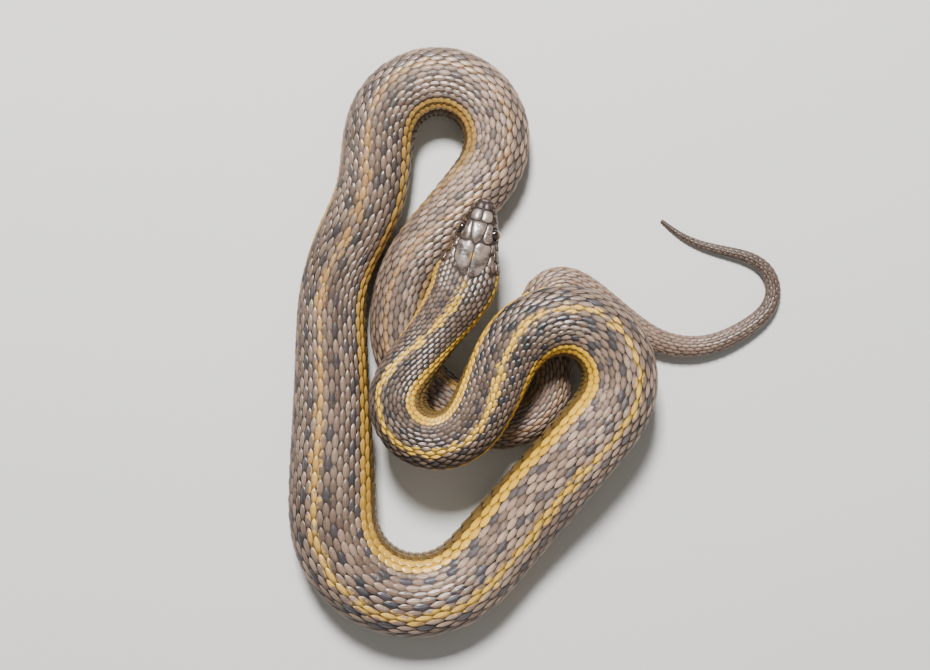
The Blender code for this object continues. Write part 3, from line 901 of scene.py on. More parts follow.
def shield_faces(around, number):
    """Faces of a closed shield: rings from the underside's rim to the face, and two middles."""
    faces = []
    for ring in range(number - 1):
        for i in range(around):
            after = (i + 1) % around
            near, far = ring * around, (ring + 1) * around
            faces.append((near + i, near + after, far + after, far + i))
    under, over = number * around, number * around + 1
    last = (number - 1) * around
    for i in range(around):
        after = (i + 1) % around
        faces.append((after, i, under))
        faces.append((last + i, last + after, over))
    return faces


def is_clockwise(outline):
    x, y = np.array(outline).T
    return np.sum(x * np.roll(y, -1) - y * np.roll(x, -1)) < 0


def shape_shield(surface, outline, chance):
    """Points, faces, place marks, within marks and map places of one closed shield."""
    rings, lifts, middle = shield_rings(outline[::-1] if is_clockwise(outline) else outline)
    around = len(rings[0])
    at, arc = np.vstack([*rings, middle, middle]).T
    lift = np.r_[np.repeat(lifts, around), lifts[0], lifts[-1] + SHIELD_CROWN]
    share = arc / surface.girth(at)
    points = surface.point(at, share, lift * read_profile(COAT, at))
    inward = np.r_[np.repeat(np.linspace(0, 1, len(rings)), around), 0, 1]
    nothing = np.zeros(len(at))
    place = np.column_stack([at, 2 * share, nothing + chance])
    within = np.column_stack([inward, nothing, nothing])
    places = np.column_stack([at / (HEAD_END + 1), share + 0.5])
    return points, shield_faces(around, len(rings)), place, within, places


def add_head_shields(surface, shields, draws, material):
    """All shields of the head, as one joined mesh of closed plates."""
    made = [shape_shield(surface, outline, draws.uniform()) for outline in shields.outlines]
    points, faces, place, within, places = zip(*made)
    starts = np.r_[0, np.cumsum([len(part) for part in points])]
    joined = [np.array(face) + start for start, part in zip(starts, faces) for face in part]
    corners, counts = face_arrays(joined)
    mesh = build_mesh("head_shields", np.vstack(points), corners, counts)
    write_mark(mesh, "POINT", "place", np.vstack(place))
    write_mark(mesh, "POINT", "within", np.vstack(within))
    write_map(mesh, np.vstack(places)[corners])
    return add_piece("head_shields", mesh, material)


def flank_to_around(flank, at):
    """Share of the girth from a flank, which is 1 at the belly's edge and 2 at its middle."""
    edge = read_profile(BACK_SHARE, at) / 2
    size = np.abs(flank)
    share = np.where(size <= 1, size * edge, edge + (size - 1) * (0.5 - edge))
    return np.sign(flank) * share


def around_to_flank(around, at):
    """Flank from a share of the girth."""
    edge = read_profile(BACK_SHARE, at) / 2
    size = np.abs(around)
    flank = np.where(size <= edge, size / edge, 1 + (size - edge) / (0.5 - edge))
    return np.sign(around) * flank


def back_scales(surface, rows, shields, sizes):
    """Every back scale of the snake, as one set of arrays."""
    draws = np.random.default_rng(SEED)
    found = {key: [] for key in ("at", "around", "row", "ring", "half", "length")}
    for row in range(-len(ROW_WIDTHS) + 1, len(ROW_WIDTHS)):
        at = rows.roots(abs(row))
        middle, half = rows.flank(abs(row), at)
        around = flank_to_around(np.sign(row) * middle, at)
        half_share = half * read_profile(BACK_SHARE, at) / 2
        stretch = np.clip(surface.stretch(at, around), *SCALE_STRETCH)
        length = sizes.overlap * read_profile(SCALE_PITCH, at) * stretch ** -0.5
        free = ~shields.covers(at + SCALE_REACH * length, around) | (at > HEAD_END)
        ring = np.interp(at, rows.at, rows.count)
        for key, values in zip(found, (at, around, np.full(len(at), row), ring, half_share, length)):
            found[key].append(values[free])
    sets = {key: np.concatenate(values) for key, values in found.items()}
    number = len(sets["at"])
    sets["chance"] = draws.uniform(0, 1, number)
    sets["length"] *= vary(draws, number, LENGTH_SWING)
    sets["half"] *= sizes.spread * vary(draws, number, WIDTH_SWING)
    sets["lift"] = read_profile(COAT, sets["at"]) * vary(draws, number, LIFT_SWING)
    sets["lean"] = LEAN_SWING * sets["half"] * draws.uniform(-1, 1, number)
    return sets


def pick(sets, chosen):
    """The chosen scales of a set."""
    return {key: values[chosen] for key, values in sets.items()}


def smooth_set(at, around, half, length, lift, seed):
    """Set of scales without keels, which lie straight and outside the lattice of the back rows."""
    number = len(at)
    return {
        "at": at, "around": around, "half": half, "length": length,
        "lift": lift * read_profile(COAT, at), "lean": np.zeros(number),
        "row": np.full(number, PLATE_ROW), "ring": np.zeros(number),
        "chance": np.random.default_rng(seed).uniform(0, 1, number),
    }


def belly_plates(surface, sizes):
    """Single plates from the throat to the vent, then pairs under the tail."""
    at = surface.at
    count = ring_count(at)
    roots = np.interp(np.arange(1, math.floor(count[-1])), count, at)
    single = roots[(roots > BELLY_START) & (roots < VENT)]
    paired = roots[(roots >= VENT) & (roots < BELLY_END)]
    places = np.r_[single, paired, paired]
    edge = 0.5 - read_profile(BACK_SHARE, places) / 2
    side = np.r_[np.zeros(len(single)), np.ones(len(paired)), -np.ones(len(paired))]
    half = np.where(side == 0, edge, edge / 2) * sizes.plate_spread
    around = 0.5 + side * edge / 2
    stretch = np.clip(surface.stretch(places, np.full(len(places), 0.5)), *PLATE_STRETCH)
    length = PLATE_LENGTH * read_profile(SCALE_PITCH, places) * stretch ** -0.5
    return smooth_set(places, around, half, length, PLATE_LIFT, SEED + 1)


def throat_scales(surface, shields):
    """Small smooth scales between the chin shields and the first belly plate."""
    found = []
    for line, at in enumerate(np.arange(THROAT_START, BELLY_START, THROAT_PITCH)):
        reach = 0.5 - read_profile(BACK_SHARE, at) / 2
        spacing = THROAT_SPACING / surface.girth(at)
        count = int(reach / spacing)
        for number in range(-count, count + 1):
            around = 0.5 + (number + 0.5 * (line % 2)) * spacing
            if not shields.covers(np.array(at + THROAT_REACH), np.array((around + 0.5) % 1 - 0.5)):
                found.append((at, around, THROAT_HALF * spacing))
    at, around, half = np.array(found).T
    return smooth_set(at, around, half, np.full(len(at), THROAT_LENGTH), THROAT_LIFT, SEED + 2)


class Wiring:
    """Adds nodes to one shader tree and gives back their outputs."""

    def __init__(self, tree):
        self.tree = tree

    def feed(self, socket, value):
        """Link an output to a socket, or set a plain value on it."""
        if isinstance(value, bpy.types.NodeSocket):
            self.tree.links.new(value, socket)
        else:
            socket.default_value = value

    def node(self, kind, inputs=None, **settings):
        made = self.tree.nodes.new("ShaderNode" + kind)
        for name, value in settings.items():
            setattr(made, name, value)
        for slot, value in (inputs or {}).items():
            self.feed(made.inputs[slot], value)
        return made

    def math(self, operation, *values):
        return self.node("Math", dict(enumerate(values)), operation=operation).outputs[0]

    def plus(self, first, second):
        return self.math("ADD", first, second)

    def minus(self, first, second):
        return self.math("SUBTRACT", first, second)

    def times(self, first, second):
        return self.math("MULTIPLY", first, second)

    def size(self, value):
        return self.math("ABSOLUTE", value)

    def centred(self, value):
        """A share from 0 to 1, moved to swing round zero."""
        return self.minus(value, 0.5)

    def ease(self, value, low, high, first=0.0, last=1.0):
        """Smooth change from one value to another between two places."""
        inputs = {"Value": value, "From Min": low, "From Max": high, "To Min": first, "To Max": last}
        return self.node("MapRange", inputs, interpolation_type="SMOOTHSTEP").outputs[0]

    def profile(self, at, points):
        """Value of a (distance, value) profile of the body, for values of zero or more."""
        top = max(value for _, value in points)
        reach = points[-1][0]
        made = self.node("ValToRGB", {0: self.math("DIVIDE", at, reach)})
        stops = made.color_ramp.elements
        stops.remove(stops[1])
        for number, (place, value) in enumerate(points):
            stop = stops[0] if number == 0 else stops.new(place / reach)
            stop.position = place / reach
            stop.color = (value / top, value / top, value / top, 1)
        return self.times(made.outputs[0], top)

    def mix(self, share, first, second, blend="MIX"):
        made = self.node("Mix", {0: share, 6: first, 7: second}, data_type="RGBA", blend_type=blend)
        return made.outputs[2]

    def noise(self, vector, scale, detail=2.0):
        return self.node("TexNoise", {"Vector": vector, "Scale": scale, "Detail": detail}).outputs[0]

    def object_noise(self, scale, detail=2.0):
        """Noise by the place in the model, with its scale for metres."""
        return self.noise(self.node("TexCoord").outputs["Object"], scale, detail)

    def bump(self, height, strength, distance, **under):
        """Normal tilted by a height, over another normal where one is given."""
        inputs = {"Strength": strength, "Distance": distance, "Height": height, **under}
        return self.node("Bump", inputs).outputs[0]

    def vector(self, x, y, z):
        return self.node("CombineXYZ", {0: x, 1: y, 2: z}).outputs[0]

    def split(self, vector):
        return self.node("SeparateXYZ", {0: vector}).outputs

    def mark(self, label):
        """A vector that the meshes carry."""
        return self.node("Attribute", attribute_name=label).outputs["Vector"]

    def tint(self, colour, *values):
        """Colour made darker or paler by each of the values."""
        for value in values:
            colour = self.mix(1.0, colour, self.vector(value, value, value), "MULTIPLY")
        return colour

    def layers(self, colour, *tops):
        """Colour with others laid over it, each as (share, colour)."""
        for share, top in tops:
            colour = self.mix(share, colour, top)
        return colour

    def group(self, name, **inputs):
        """A shared shader group, made the first time that it is asked for."""
        made = self.tree.nodes.new("ShaderNodeGroup")
        made.node_tree = bpy.data.node_groups.get(name) or GROUP_MAKERS[name](name)
        for label, value in inputs.items():
            self.feed(made.inputs[label.replace("_", " ").title()], value)
        return made.outputs


def new_group(name, inputs, outputs):
    """Shader node group as its wiring, and its inputs and outputs by name."""
    tree = bpy.data.node_groups.new(name, "ShaderNodeTree")
    for label, kind, default in inputs:
        socket = tree.interface.new_socket(label, in_out="INPUT", socket_type="NodeSocket" + kind)
        if default is not None:
            socket.default_value = default
    for label, kind in outputs:
        tree.interface.new_socket(label, in_out="OUTPUT", socket_type="NodeSocket" + kind)
    source = tree.nodes.new("NodeGroupInput")
    sink = tree.nodes.new("NodeGroupOutput")
    return Wiring(tree), source.outputs, sink.inputs


def rgba(colour):
    return (*colour, 1.0)


def make_markings(name):
    """Colour of the snake's back, sides and belly from the place on it."""
    inputs = [("Place", "Vector", None), ("Lattice", "Vector", None)]
    inputs += [(label, "Color", (0.5, 0.5, 0.5, 1)) for label in MARKING_COLOURS]
    wires, given, out = new_group(name, inputs, [("Color", "Color")])
    along, flank, chance = wires.split(given["Place"])
    ring, signed_row, _ = wires.split(given["Lattice"])
    side, row = wires.size(flank), wires.size(signed_row)
    broad, fine = (add_cloud(wires, along, flank, rate) for rate in CLOUD_RATES)
    off = wires.centred(fine)
    luck = wires.plus(wires.times(broad, 0.7), wires.times(chance, 0.6))
    colour = wires.mix(wires.ease(luck, 0.2, 1.1), given["Ground"], given["Ground Warm"])
    colour = wires.mix(add_spots(wires, along, ring, row, chance, off), colour, given["Spot"])
    # Brightness along the back: partly its own tone, partly painted light and painted shade.
    colour = wires.tint(colour, wires.profile(along, TONE_AND_PAINTED_LIGHT))
    colour = add_back_stripe(wires, given, colour, along, side, chance, off)
    colour = add_side_stripes(wires, given, colour, along, side, row, off)
    tail = wires.times(wires.profile(along, TAIL_PLAIN), wires.ease(side, 1.03, 0.99, 0.45, 0.9))
    colour = wires.mix(tail, colour, given["Tail"])
    value = wires.plus(wires.times(chance, 2 * CHANCE_SWING), 1 - CHANCE_SWING)
    # Brightness of the tail: partly its own tone, partly painted light and painted shade.
    value = wires.times(value, wires.profile(along, TAIL_TONE_AND_PAINTED_LIGHT))
    wires.feed(out["Color"], wires.tint(colour, value))
    return wires.tree


def add_cloud(wires, along, flank, rate):
    """Soft clouds over the body, about as long as they are wide."""
    place = wires.vector(wires.times(along, rate), wires.times(flank, FLANK_LENGTH * rate), rate)
    return wires.noise(place, 1.0)


def add_spots(wires, along, ring, row, chance, off):
    """Share of the dark spots, which alternate between two lines of rows on each side of the back."""
    near, far = SPOT_ROWS
    onward = wires.math("COSINE", wires.times(ring, math.tau / SPOT_SPACING))
    across = wires.math("COSINE", wires.times(wires.minus(row, near), math.pi / (far - near)))
    spot = wires.plus(wires.times(onward, across), wires.times(off, RAGGED))
    spot = wires.plus(spot, wires.times(wires.centred(chance), 0.5))
    below = wires.ease(row, STRIPE_ROWS[0] + ROW_EDGE, STRIPE_ROWS[0] - ROW_EDGE)
    between = wires.times(wires.ease(row, 0.6, 1.4), below)
    strength = wires.times(between, wires.profile(along, SPOT_STRENGTH))
    return wires.times(wires.ease(spot, 0.42, 0.6), strength)


def add_back_stripe(wires, given, colour, along, side, chance, off):
    """The stripe on the middle row, with ragged edges on the inner halves of the rows beside it."""
    ragged = wires.plus(wires.times(wires.centred(chance), 0.07), wires.times(off, 0.28))
    edge = wires.minus(wires.plus(side, ragged), wires.profile(along, BACK_STRIPE_HALF))
    share = wires.times(wires.ease(edge, 0.012, -0.012), wires.profile(along, BACK_STRIPE_STRENGTH))
    stripe = wires.mix(wires.profile(along, BACK_STRIPE_FADE), given["Back Stripe"], given["Faded Stripe"])
    return wires.mix(share, colour, stripe)


def add_side_stripes(wires, given, colour, along, side, row, off):
    """The stripe on two rows of each side, the brown row under it, partly painted shade, and the pale
    belly.
    """
    edge = wires.plus(wires.plus(row, wires.times(off, RAGGED)), wires.profile(along, SIDE_STRIPE_RISE))
    top, bottom = (wires.ease(edge, line - ROW_EDGE, line + ROW_EDGE) for line in STRIPE_ROWS)
    # Strength by distance, lowered at the neck as painted shade.
    share = wires.times(top, wires.profile(along, SIDE_STRIPE_STRENGTH))
    stripe = wires.mix(wires.profile(along, SIDE_STRIPE_FADE), given["Side Stripe"], given["Faded Side"])
    return wires.layers(
        colour,
        (share, stripe),
        (wires.times(bottom, 0.9), given["Low Row"]),
        (wires.ease(side, *BELLY_EDGE), given["Belly"]),
    )


def make_painted_scale_light(name):
    """Painted shade and highlight of one scale: painted shade at its root and edges, a keel paler partly by
    its own colour and partly by painted highlight, and a painted highlight towards its tip.
    """
    inputs = [("Within", "Vector", None), ("Edge", "Float", 0.5), ("Keel", "Float", 0.3)]
    wires, given, out = new_group(name, inputs, [("Shade", "Float")])
    across, along, _ = wires.split(given["Within"])
    side = wires.size(across)
    # Painted shade at the root, under the tip of the scale before it, and along the sides.
    edge = wires.math("MAXIMUM", wires.ease(side, 0.72, 1.0), wires.ease(along, 0.5, 0.22))
    # Paler keel: partly its own colour, partly painted highlight.
    keel = wires.times(wires.ease(side, 0.16, 0.04), wires.ease(along, 0.3, 0.6))
    down = wires.minus(1.0, wires.times(edge, given["Edge"]))
    # Painted shade towards the root and painted highlight towards the tip, with the keel's paleness added.
    tip = wires.plus(wires.ease(along, 0.3, 0.95, 0.9, 1.14), wires.times(keel, given["Keel"]))
    wires.feed(out["Shade"], wires.times(down, tip))
    return wires.tree


def make_grain(name):
    """Fine grain of the skin's surface, as a height and as a small change of shade."""
    inputs = [("Scale", "Float", 900.0), ("Contrast", "Float", 0.2)]
    wires, given, out = new_group(name, inputs, [("Height", "Float"), ("Shade", "Float")])
    fine = wires.object_noise(given["Scale"], 3.0)
    wires.feed(out["Height"], fine)
    wires.feed(out["Shade"], wires.plus(wires.times(wires.centred(fine), given["Contrast"]), 1.0))
    return wires.tree


GROUP_MAKERS = {"Snake Markings": make_markings, "Scale Relief": make_painted_scale_light, "Skin Grain": make_grain}


def start_material(name):
    material = bpy.data.materials.new(name)
    material.use_nodes = True
    return material, Wiring(material.node_tree)


def finish_material(material, wires, sockets):
    """Feed the sockets of the material's shader, and give the material back."""
    shader = material.node_tree.nodes["Principled BSDF"]
    for label, value in sockets.items():
        wires.feed(shader.inputs[label], value)
    return material


def add_markings(wires, colours):
    """The snake's own colour at each point, by its place and the row that it belongs to."""
    given = {}
    for label in MARKING_COLOURS:
        name = label.lower().replace(" ", "_")
        given[name] = rgba(getattr(colours, name))
    given.update(place=wires.mark("place"), lattice=wires.mark("lattice"))
    return wires.group("Snake Markings", **given)["Color"]


def scale_material(name, colours, edge, keel, roughness):
    """Keeled or smooth scales that carry the snake's markings, with each scale's painted shade and painted
    highlight.
    """
    material, wires = start_material(name)
    # Painted shade at each scale's root and edges, painted highlight on its keel and tip.
    painted_light = wires.group("Scale Relief", within=wires.mark("within"), edge=edge, keel=keel)
    grain = wires.group("Skin Grain", scale=SCALE_GRAIN, contrast=0.8)
    mottle = wires.mix(wires.ease(grain["Height"], 0.35, 0.65), *MOTTLE)
    colour = wires.mix(1.0, add_markings(wires, colours), mottle, "MULTIPLY")
    low = roughness - ROUGHNESS_SWING / 2
    return finish_material(material, wires, {
        "Base Color": wires.tint(colour, painted_light["Shade"], grain["Shade"]),
        "Roughness": wires.plus(wires.times(grain["Height"], ROUGHNESS_SWING), low),
        "Specular IOR Level": 0.6,
        "Normal": wires.bump(grain["Height"], 0.6, 0.00012),
    })


def skin_material(colours):
    """Dark stretchy skin that shows between the scales, with a trace of the markings."""
    material, wires = start_material("Skin between scales")
    grain = wires.group("Skin Grain", scale=SKIN_GRAIN, contrast=0.8)
    colour = wires.mix(0.2, rgba(colours.between), add_markings(wires, colours))
    return finish_material(material, wires, {
        "Base Color": wires.tint(colour, grain["Shade"]),
        "Roughness": 0.6,
        "Specular IOR Level": 0.2,
        "Normal": wires.bump(grain["Height"], 0.5, 0.0001),
    })


def shield_colour(wires, colours, cloud, along, side):
    """Clouded brown crown, redder snout, dark cheeks partly from painted shade, ochre lips, cream chin and
    the crown's yellow spot.
    """
    lip = wires.math("MAXIMUM", wires.ease(along, *OCHRE_EDGE), wires.ease(side, *LOWER_LIP_EDGE))
    yellow = wires.ease(wires.size(wires.minus(along, YELLOW_SPOT_AT)), 1.3, 0.2, 0, 0.6)
    return wires.layers(
        rgba(colours.shield),
        (wires.ease(cloud, 0.3, 0.7), rgba(colours.shield_pale)),
        (wires.ease(along, *SNOUT_EDGE), rgba(colours.snout)),
        # Dark cheeks: partly their own brown, partly painted shade of the head's sides.
        (wires.ease(side, *CHEEK_EDGE), rgba(colours.cheek)),
        (wires.times(wires.ease(side, *LIPS_EDGE), lip), rgba(colours.lip)),
        (wires.ease(side, *CHIN_EDGE), rgba(colours.chin)),
        (wires.times(wires.ease(side, 0.035, 0.005), yellow), rgba(colours.side_stripe)),
    )


def shield_material(colours):
    """Glossy shields of the head, dark along their rims and each with its own shade."""
    material, wires = start_material("Head shields")
    along, flank, chance = wires.split(wires.mark("place"))
    inward, _, _ = wires.split(wires.mark("within"))
    cloud = wires.object_noise(SHIELD_CLOUDS, 3.0)
    colour = shield_colour(wires, colours, cloud, along, wires.size(flank))
    shade = wires.minus(1.15, wires.times(wires.ease(inward, 0.5, 0.1), 0.95))
    own = wires.plus(0.8, wires.times(chance, 0.4))
    grain = wires.group("Skin Grain", scale=SHIELD_GRAIN, contrast=0.25)
    rough = wires.plus(wires.ease(along, 6, 3, 0.14, 0.34), wires.times(grain["Height"], 0.24))
    waves = wires.bump(cloud, 0.6, 0.0003)
    return finish_material(material, wires, {
        "Base Color": wires.tint(colour, wires.times(shade, own), grain["Shade"]),
        "Roughness": rough,
        "Specular IOR Level": 0.75,
        "Normal": wires.bump(grain["Height"], 0.3, 0.00006, Normal=waves),
    })


def eye_material(colours):
    """Round black pupil, thin pale ring and mottled brown iris under a clear gloss."""
    material, wires = start_material("Eye")
    outward, _, _ = wires.split(wires.mark("within"))
    fleck = wires.ease(wires.object_noise(IRIS_FLECKS, 3.0), 0.35, 0.65)
    ring = wires.times(wires.ease(outward, *RING_INNER_EDGE), wires.ease(outward, *RING_OUTER_EDGE))
    colour = wires.layers(
        rgba(colours.iris),
        (fleck, rgba(colours.iris_pale)),
        (ring, rgba(colours.pupil_ring)),
        (wires.ease(outward, *PUPIL_EDGE), PUPIL),
        (wires.ease(outward, *RIM_EDGE), EYE_RIM),
    )
    sockets = {"Base Color": colour, "Roughness": 0.12, "Coat Weight": 1.0, "Coat Roughness": 0.03}
    return finish_material(material, wires, sockets)


def floor_material(colour):
    material, wires = start_material("Plain floor")
    shade = wires.plus(0.98, wires.times(wires.object_noise(FLOOR_PATCHES), 0.04))
    sockets = {"Base Color": wires.tint(rgba(colour), shade), "Roughness": 0.85}
    return finish_material(material, wires, sockets)


def closed_tube(rings, columns):
    """Face corners, and their number for each face, of rings of points with a fan over each end.

    The middles of the two fans follow the rings' points.
    """
    index = np.arange(rings * columns).reshape(rings, columns)
    after = np.roll(index, -1, axis=1)
    quads = np.stack([index[:-1], index[1:], after[1:], after[:-1]], axis=-1).reshape(-1, 4)
    front = np.column_stack([np.full(columns, rings * columns), index[0], after[0]])
    back = np.column_stack([np.full(columns, rings * columns + 1), after[-1], index[-1]])
    corners = np.r_[quads.ravel(), front.ravel(), back.ravel()]
    return corners, np.r_[np.full(len(quads), 4), np.full(2 * columns, 3)]


def skin_corners(at, around):
    """Distance and share of the girth at each face corner of the skin, unbroken across the seam."""
    ring, column = np.meshgrid(np.arange(len(at) - 1), np.arange(COLUMNS), indexing="ij")
    corner_at = at[np.stack([ring, ring + 1, ring + 1, ring], axis=-1)].ravel()
    corner_around = around[np.stack([column, column, column + 1, column + 1], axis=-1)].ravel()
    fan = np.column_stack([around[:-1], around[:-1], around[1:]]).ravel()
    ends = np.repeat((0.0, at[-1]), len(fan))
    return np.r_[corner_at, ends], np.r_[corner_around, fan, fan]


def add_skin(surface, material):
    """One closed skin from the snout to the tail tip, in place of every node of flesh."""
    head = np.linspace(0, HEAD_END, round(HEAD_END / HEAD_PITCH) + 1)
    body_count = round((surface.length - HEAD_END) / BODY_PITCH)
    at = np.r_[head, np.linspace(HEAD_END, surface.length, body_count + 1)[1:]]
    around = np.linspace(-0.5, 0.5, COLUMNS + 1)
    grid_at, grid_around = np.meshgrid(at, around[:-1], indexing="ij")
    points = surface.point(grid_at, grid_around, 0.0)
    middles = points.mean(axis=1)[[0, -1]]
    faces = closed_tube(len(at), COLUMNS)
    mesh = build_mesh("skin", np.vstack([points.reshape(-1, 3), middles]), *faces)

    corner_at, corner_around = skin_corners(at, around)
    flank = around_to_flank(corner_around, corner_at)
    ring = np.interp(corner_at, surface.at, ring_count(surface.at))
    nothing = np.zeros(len(flank))
    write_mark(mesh, "CORNER", "place", np.column_stack([corner_at, flank, nothing + 0.5]))
    write_mark(mesh, "CORNER", "lattice", np.column_stack([ring, len(ROW_WIDTHS) * flank, nothing]))
    write_map(mesh, surface.unwrap(corner_at, corner_around))
    skin = add_piece("skin", mesh, material)
    flesh = [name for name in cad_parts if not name.startswith("eye_")]
    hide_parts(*flesh)


def eye_axes(surface, hand):
    """Direction in which an eye looks, and two directions across it."""
    right = surface.right[0]
    forward = np.array((-right[1], right[0]))
    onward, up = EYE_AIM
    look = np.array((*(hand * right + onward * forward), up))
    first = np.cross(look, (0, 0, 1))
    second = np.cross(look, first)
    return [axis / np.linalg.norm(axis) for axis in (look, first, second)]


def add_eye(surface, label, hand, material):
    """Eyeball that looks out to its side, a little forward and up."""
    at, across, level, radius = EYE
    centre = surface.world(np.array([at]), np.array([hand * across]), np.array([level]))[0]
    look, first, second = eye_axes(surface, hand)
    polar = np.linspace(0, math.pi, EYE_RINGS + 2)[1:-1]
    turn = np.linspace(0, math.tau, EYE_COLUMNS + 1)[:-1]
    polar, turn = (side[..., None] for side in np.meshgrid(polar, turn, indexing="ij"))
    rise, spread = CORNEA
    reach = radius * (1 + rise * np.exp(-(polar / spread) ** 2))
    beside = np.cos(turn) * first + np.sin(turn) * second
    ball = centre + reach * (np.cos(polar) * look + np.sin(polar) * beside)
    poles = centre + radius * np.outer((1 + rise, -1), look)
    points = np.vstack([ball.reshape(-1, 3), poles])
    mesh = build_mesh("eyeball_" + label, points, *closed_tube(EYE_RINGS, EYE_COLUMNS))
    outward = np.r_[polar.ravel(), 0.0, math.pi] / IRIS_REACH
    write_mark(mesh, "POINT", "within", np.column_stack([outward, outward, np.zeros(len(outward))]))
    eye = add_piece("eyeball_" + label, mesh, material)
    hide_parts("eye_" + label)


def add_area_light(name, power, size, place, aim):
    """Soft square light at a place in metres, turned to its aim."""
    light = bpy.data.lights.new(name, "AREA")
    light.energy = power
    light.size = size
    lamp = bpy.data.objects.new(name, light)
    lamp.location = place
    lamp.rotation_euler = (Vector(aim) - Vector(place)).to_track_quat("-Z", "Y").to_euler()
    bpy.context.scene.collection.objects.link(lamp)


def add_floor(size, colour):
    """Plain square floor under the coil."""
    half = size / 2
    corners = [(-half, -half, 0), (half, -half, 0), (half, half, 0), (-half, half, 0)]
    mesh = bpy.data.meshes.new("floor")
    mesh.from_pydata(corners, [], [(0, 1, 2, 3)])
    mesh.materials.append(floor_material(colour))
    floor = bpy.data.objects.new("floor", mesh)
    bpy.context.scene.collection.objects.link(floor)


def add_sky(strength):
    """Even white light from all round."""
    world = bpy.data.worlds.new("Studio")
    world.use_nodes = True
    back = world.node_tree.nodes["Background"]
    back.inputs["Color"].default_value = (1.0, 1.0, 1.0, 1.0)
    back.inputs["Strength"].default_value = strength
    bpy.context.scene.world = world


def add_camera(place):
    """Camera at a place in metres that looks straight down."""
    camera = bpy.data.cameras.new("camera")
    camera.sensor_width = SENSOR
    camera.lens = SENSOR * VIEW_HEIGHT / VIEW_WIDTH
    camera.clip_start = CLIP_START
    eye = bpy.data.objects.new("camera", camera)
    eye.location = place
    bpy.context.scene.collection.objects.link(eye)
    bpy.context.scene.camera = eye


class SnakeSizes(bpy.types.PropertyGroup):
    overlap: FloatProperty(name="Scale overlap", default=1.5, min=1.0, max=2.5,
                           description="Length of a back scale over the spacing of its row")
    spread: FloatProperty(name="Scale spread", default=1.24, min=1.0, max=2.0,
                          description="Width of a back scale over the width of its row")
    plate_spread: FloatProperty(name="Belly plate spread", default=1.04, min=1.0, max=1.2,
                                description="Width of a belly plate over the width of the belly")


def colour_property(name, default, description):
    return FloatVectorProperty(name=name, default=default, description=description,
                               subtype="COLOR", size=3, min=0.0, max=1.0)


class SnakeColours(bpy.types.PropertyGroup):
    ground: colour_property("Ground", (0.103, 0.069, 0.050), "Brown of most back scales")
    ground_warm: colour_property("Warm ground", (0.205, 0.141, 0.103), "Tan of the paler back scales")
    spot: colour_property("Spots", (0.022, 0.025, 0.033), "Slate of the spots between the stripes")
    back_stripe: colour_property("Back stripe", (0.66, 0.40, 0.05), "Yellow stripe along the neck")
    faded_stripe: colour_property("Faded stripe", (0.40, 0.22, 0.075), "Orange-tan stripe farther back")
    side_stripe: colour_property("Side stripes", (0.58, 0.33, 0.025), "Golden stripe along each side")
    faded_side: colour_property("Faded side stripes", (0.30, 0.17, 0.035), "Side stripes farther back")
    # Lowest row: partly its own dark brown, partly painted shade where the side turns down towards the
    # belly.
    low_row: colour_property("Lowest row", (0.055, 0.034, 0.016), "Dark brown row beside the belly")
    belly: colour_property("Belly", (0.42, 0.38, 0.26), "Pale olive of the belly plates")
    tail: colour_property("Tail", (0.17, 0.11, 0.08), "Plain brown of the tail")
    between: colour_property("Between scales", (0.006, 0.004, 0.003), "Skin between the scales")
    shield: colour_property("Head shields", (0.032, 0.020, 0.014), "Dark brown of the head shields")
    shield_pale: colour_property("Pale clouds", (0.170, 0.128, 0.102), "Clouds on the head shields")
    snout: colour_property("Snout", (0.026, 0.008, 0.005), "Dark red-brown of the snout")
    # Cheeks: partly their own dark brown, partly painted shade of the head's sides.
    cheek: colour_property("Cheek", (0.05, 0.025, 0.012), "Dark brown of the cheeks")
    lip: colour_property("Lips", (0.26, 0.13, 0.04), "Ochre of the lip shields")
    chin: colour_property("Chin", (0.50, 0.44, 0.32), "Cream of the chin")
    iris: colour_property("Iris", (0.07, 0.035, 0.015), "Dark brown of the iris")
    iris_pale: colour_property("Iris flecks", (0.16, 0.09, 0.04), "Copper flecks of the iris")
    pupil_ring: colour_property("Pupil ring", (0.40, 0.24, 0.09), "Thin pale ring round the pupil")


class StageSettings(bpy.types.PropertyGroup):
    floor_size: FloatProperty(name="Floor size", default=6.0, unit="LENGTH",
                              description="Side of the square floor")
    floor_colour: colour_property("Floor", (0.62, 0.61, 0.585), "Pale plain floor")
    key_power: FloatProperty(name="Key light", default=31.0, unit="POWER",
                             description="Power of the soft light from the snout's side")
    fill_power: FloatProperty(name="Fill light", default=0.6, unit="POWER",
                              description="Power of the soft light from the other side")
    sky: FloatProperty(name="Sky", default=0.24, description="Strength of the even light from all round")


class SNAKE_OT_add_skin(bpy.types.Operator):
    """Add the one skin that stands for the model's flesh"""
    bl_idname = "snake.add_skin"
    bl_label = "Add Skin"

    def execute(self, context):
        add_skin(find_surface(), skin_material(context.scene.snake_colours))
        return {"FINISHED"}


class SNAKE_OT_add_eyes(bpy.types.Operator):
    """Add both eyes"""
    bl_idname = "snake.add_eyes"
    bl_label = "Add Eyes"

    def execute(self, context):
        material = eye_material(context.scene.snake_colours)
        for label, hand in (("right", 1), ("left", -1)):
            add_eye(find_surface(), label, hand, material)
        return {"FINISHED"}


class SNAKE_OT_add_head_shields(bpy.types.Operator):
    """Add the shields of the crown, cheeks, lips and chin"""
    bl_idname = "snake.add_head_shields"
    bl_label = "Add Head Shields"

    def execute(self, context):
        surface = find_surface()
        draws = np.random.default_rng(SEED + 3)
        add_head_shields(surface, Shields(surface), draws, shield_material(context.scene.snake_colours))
        return {"FINISHED"}


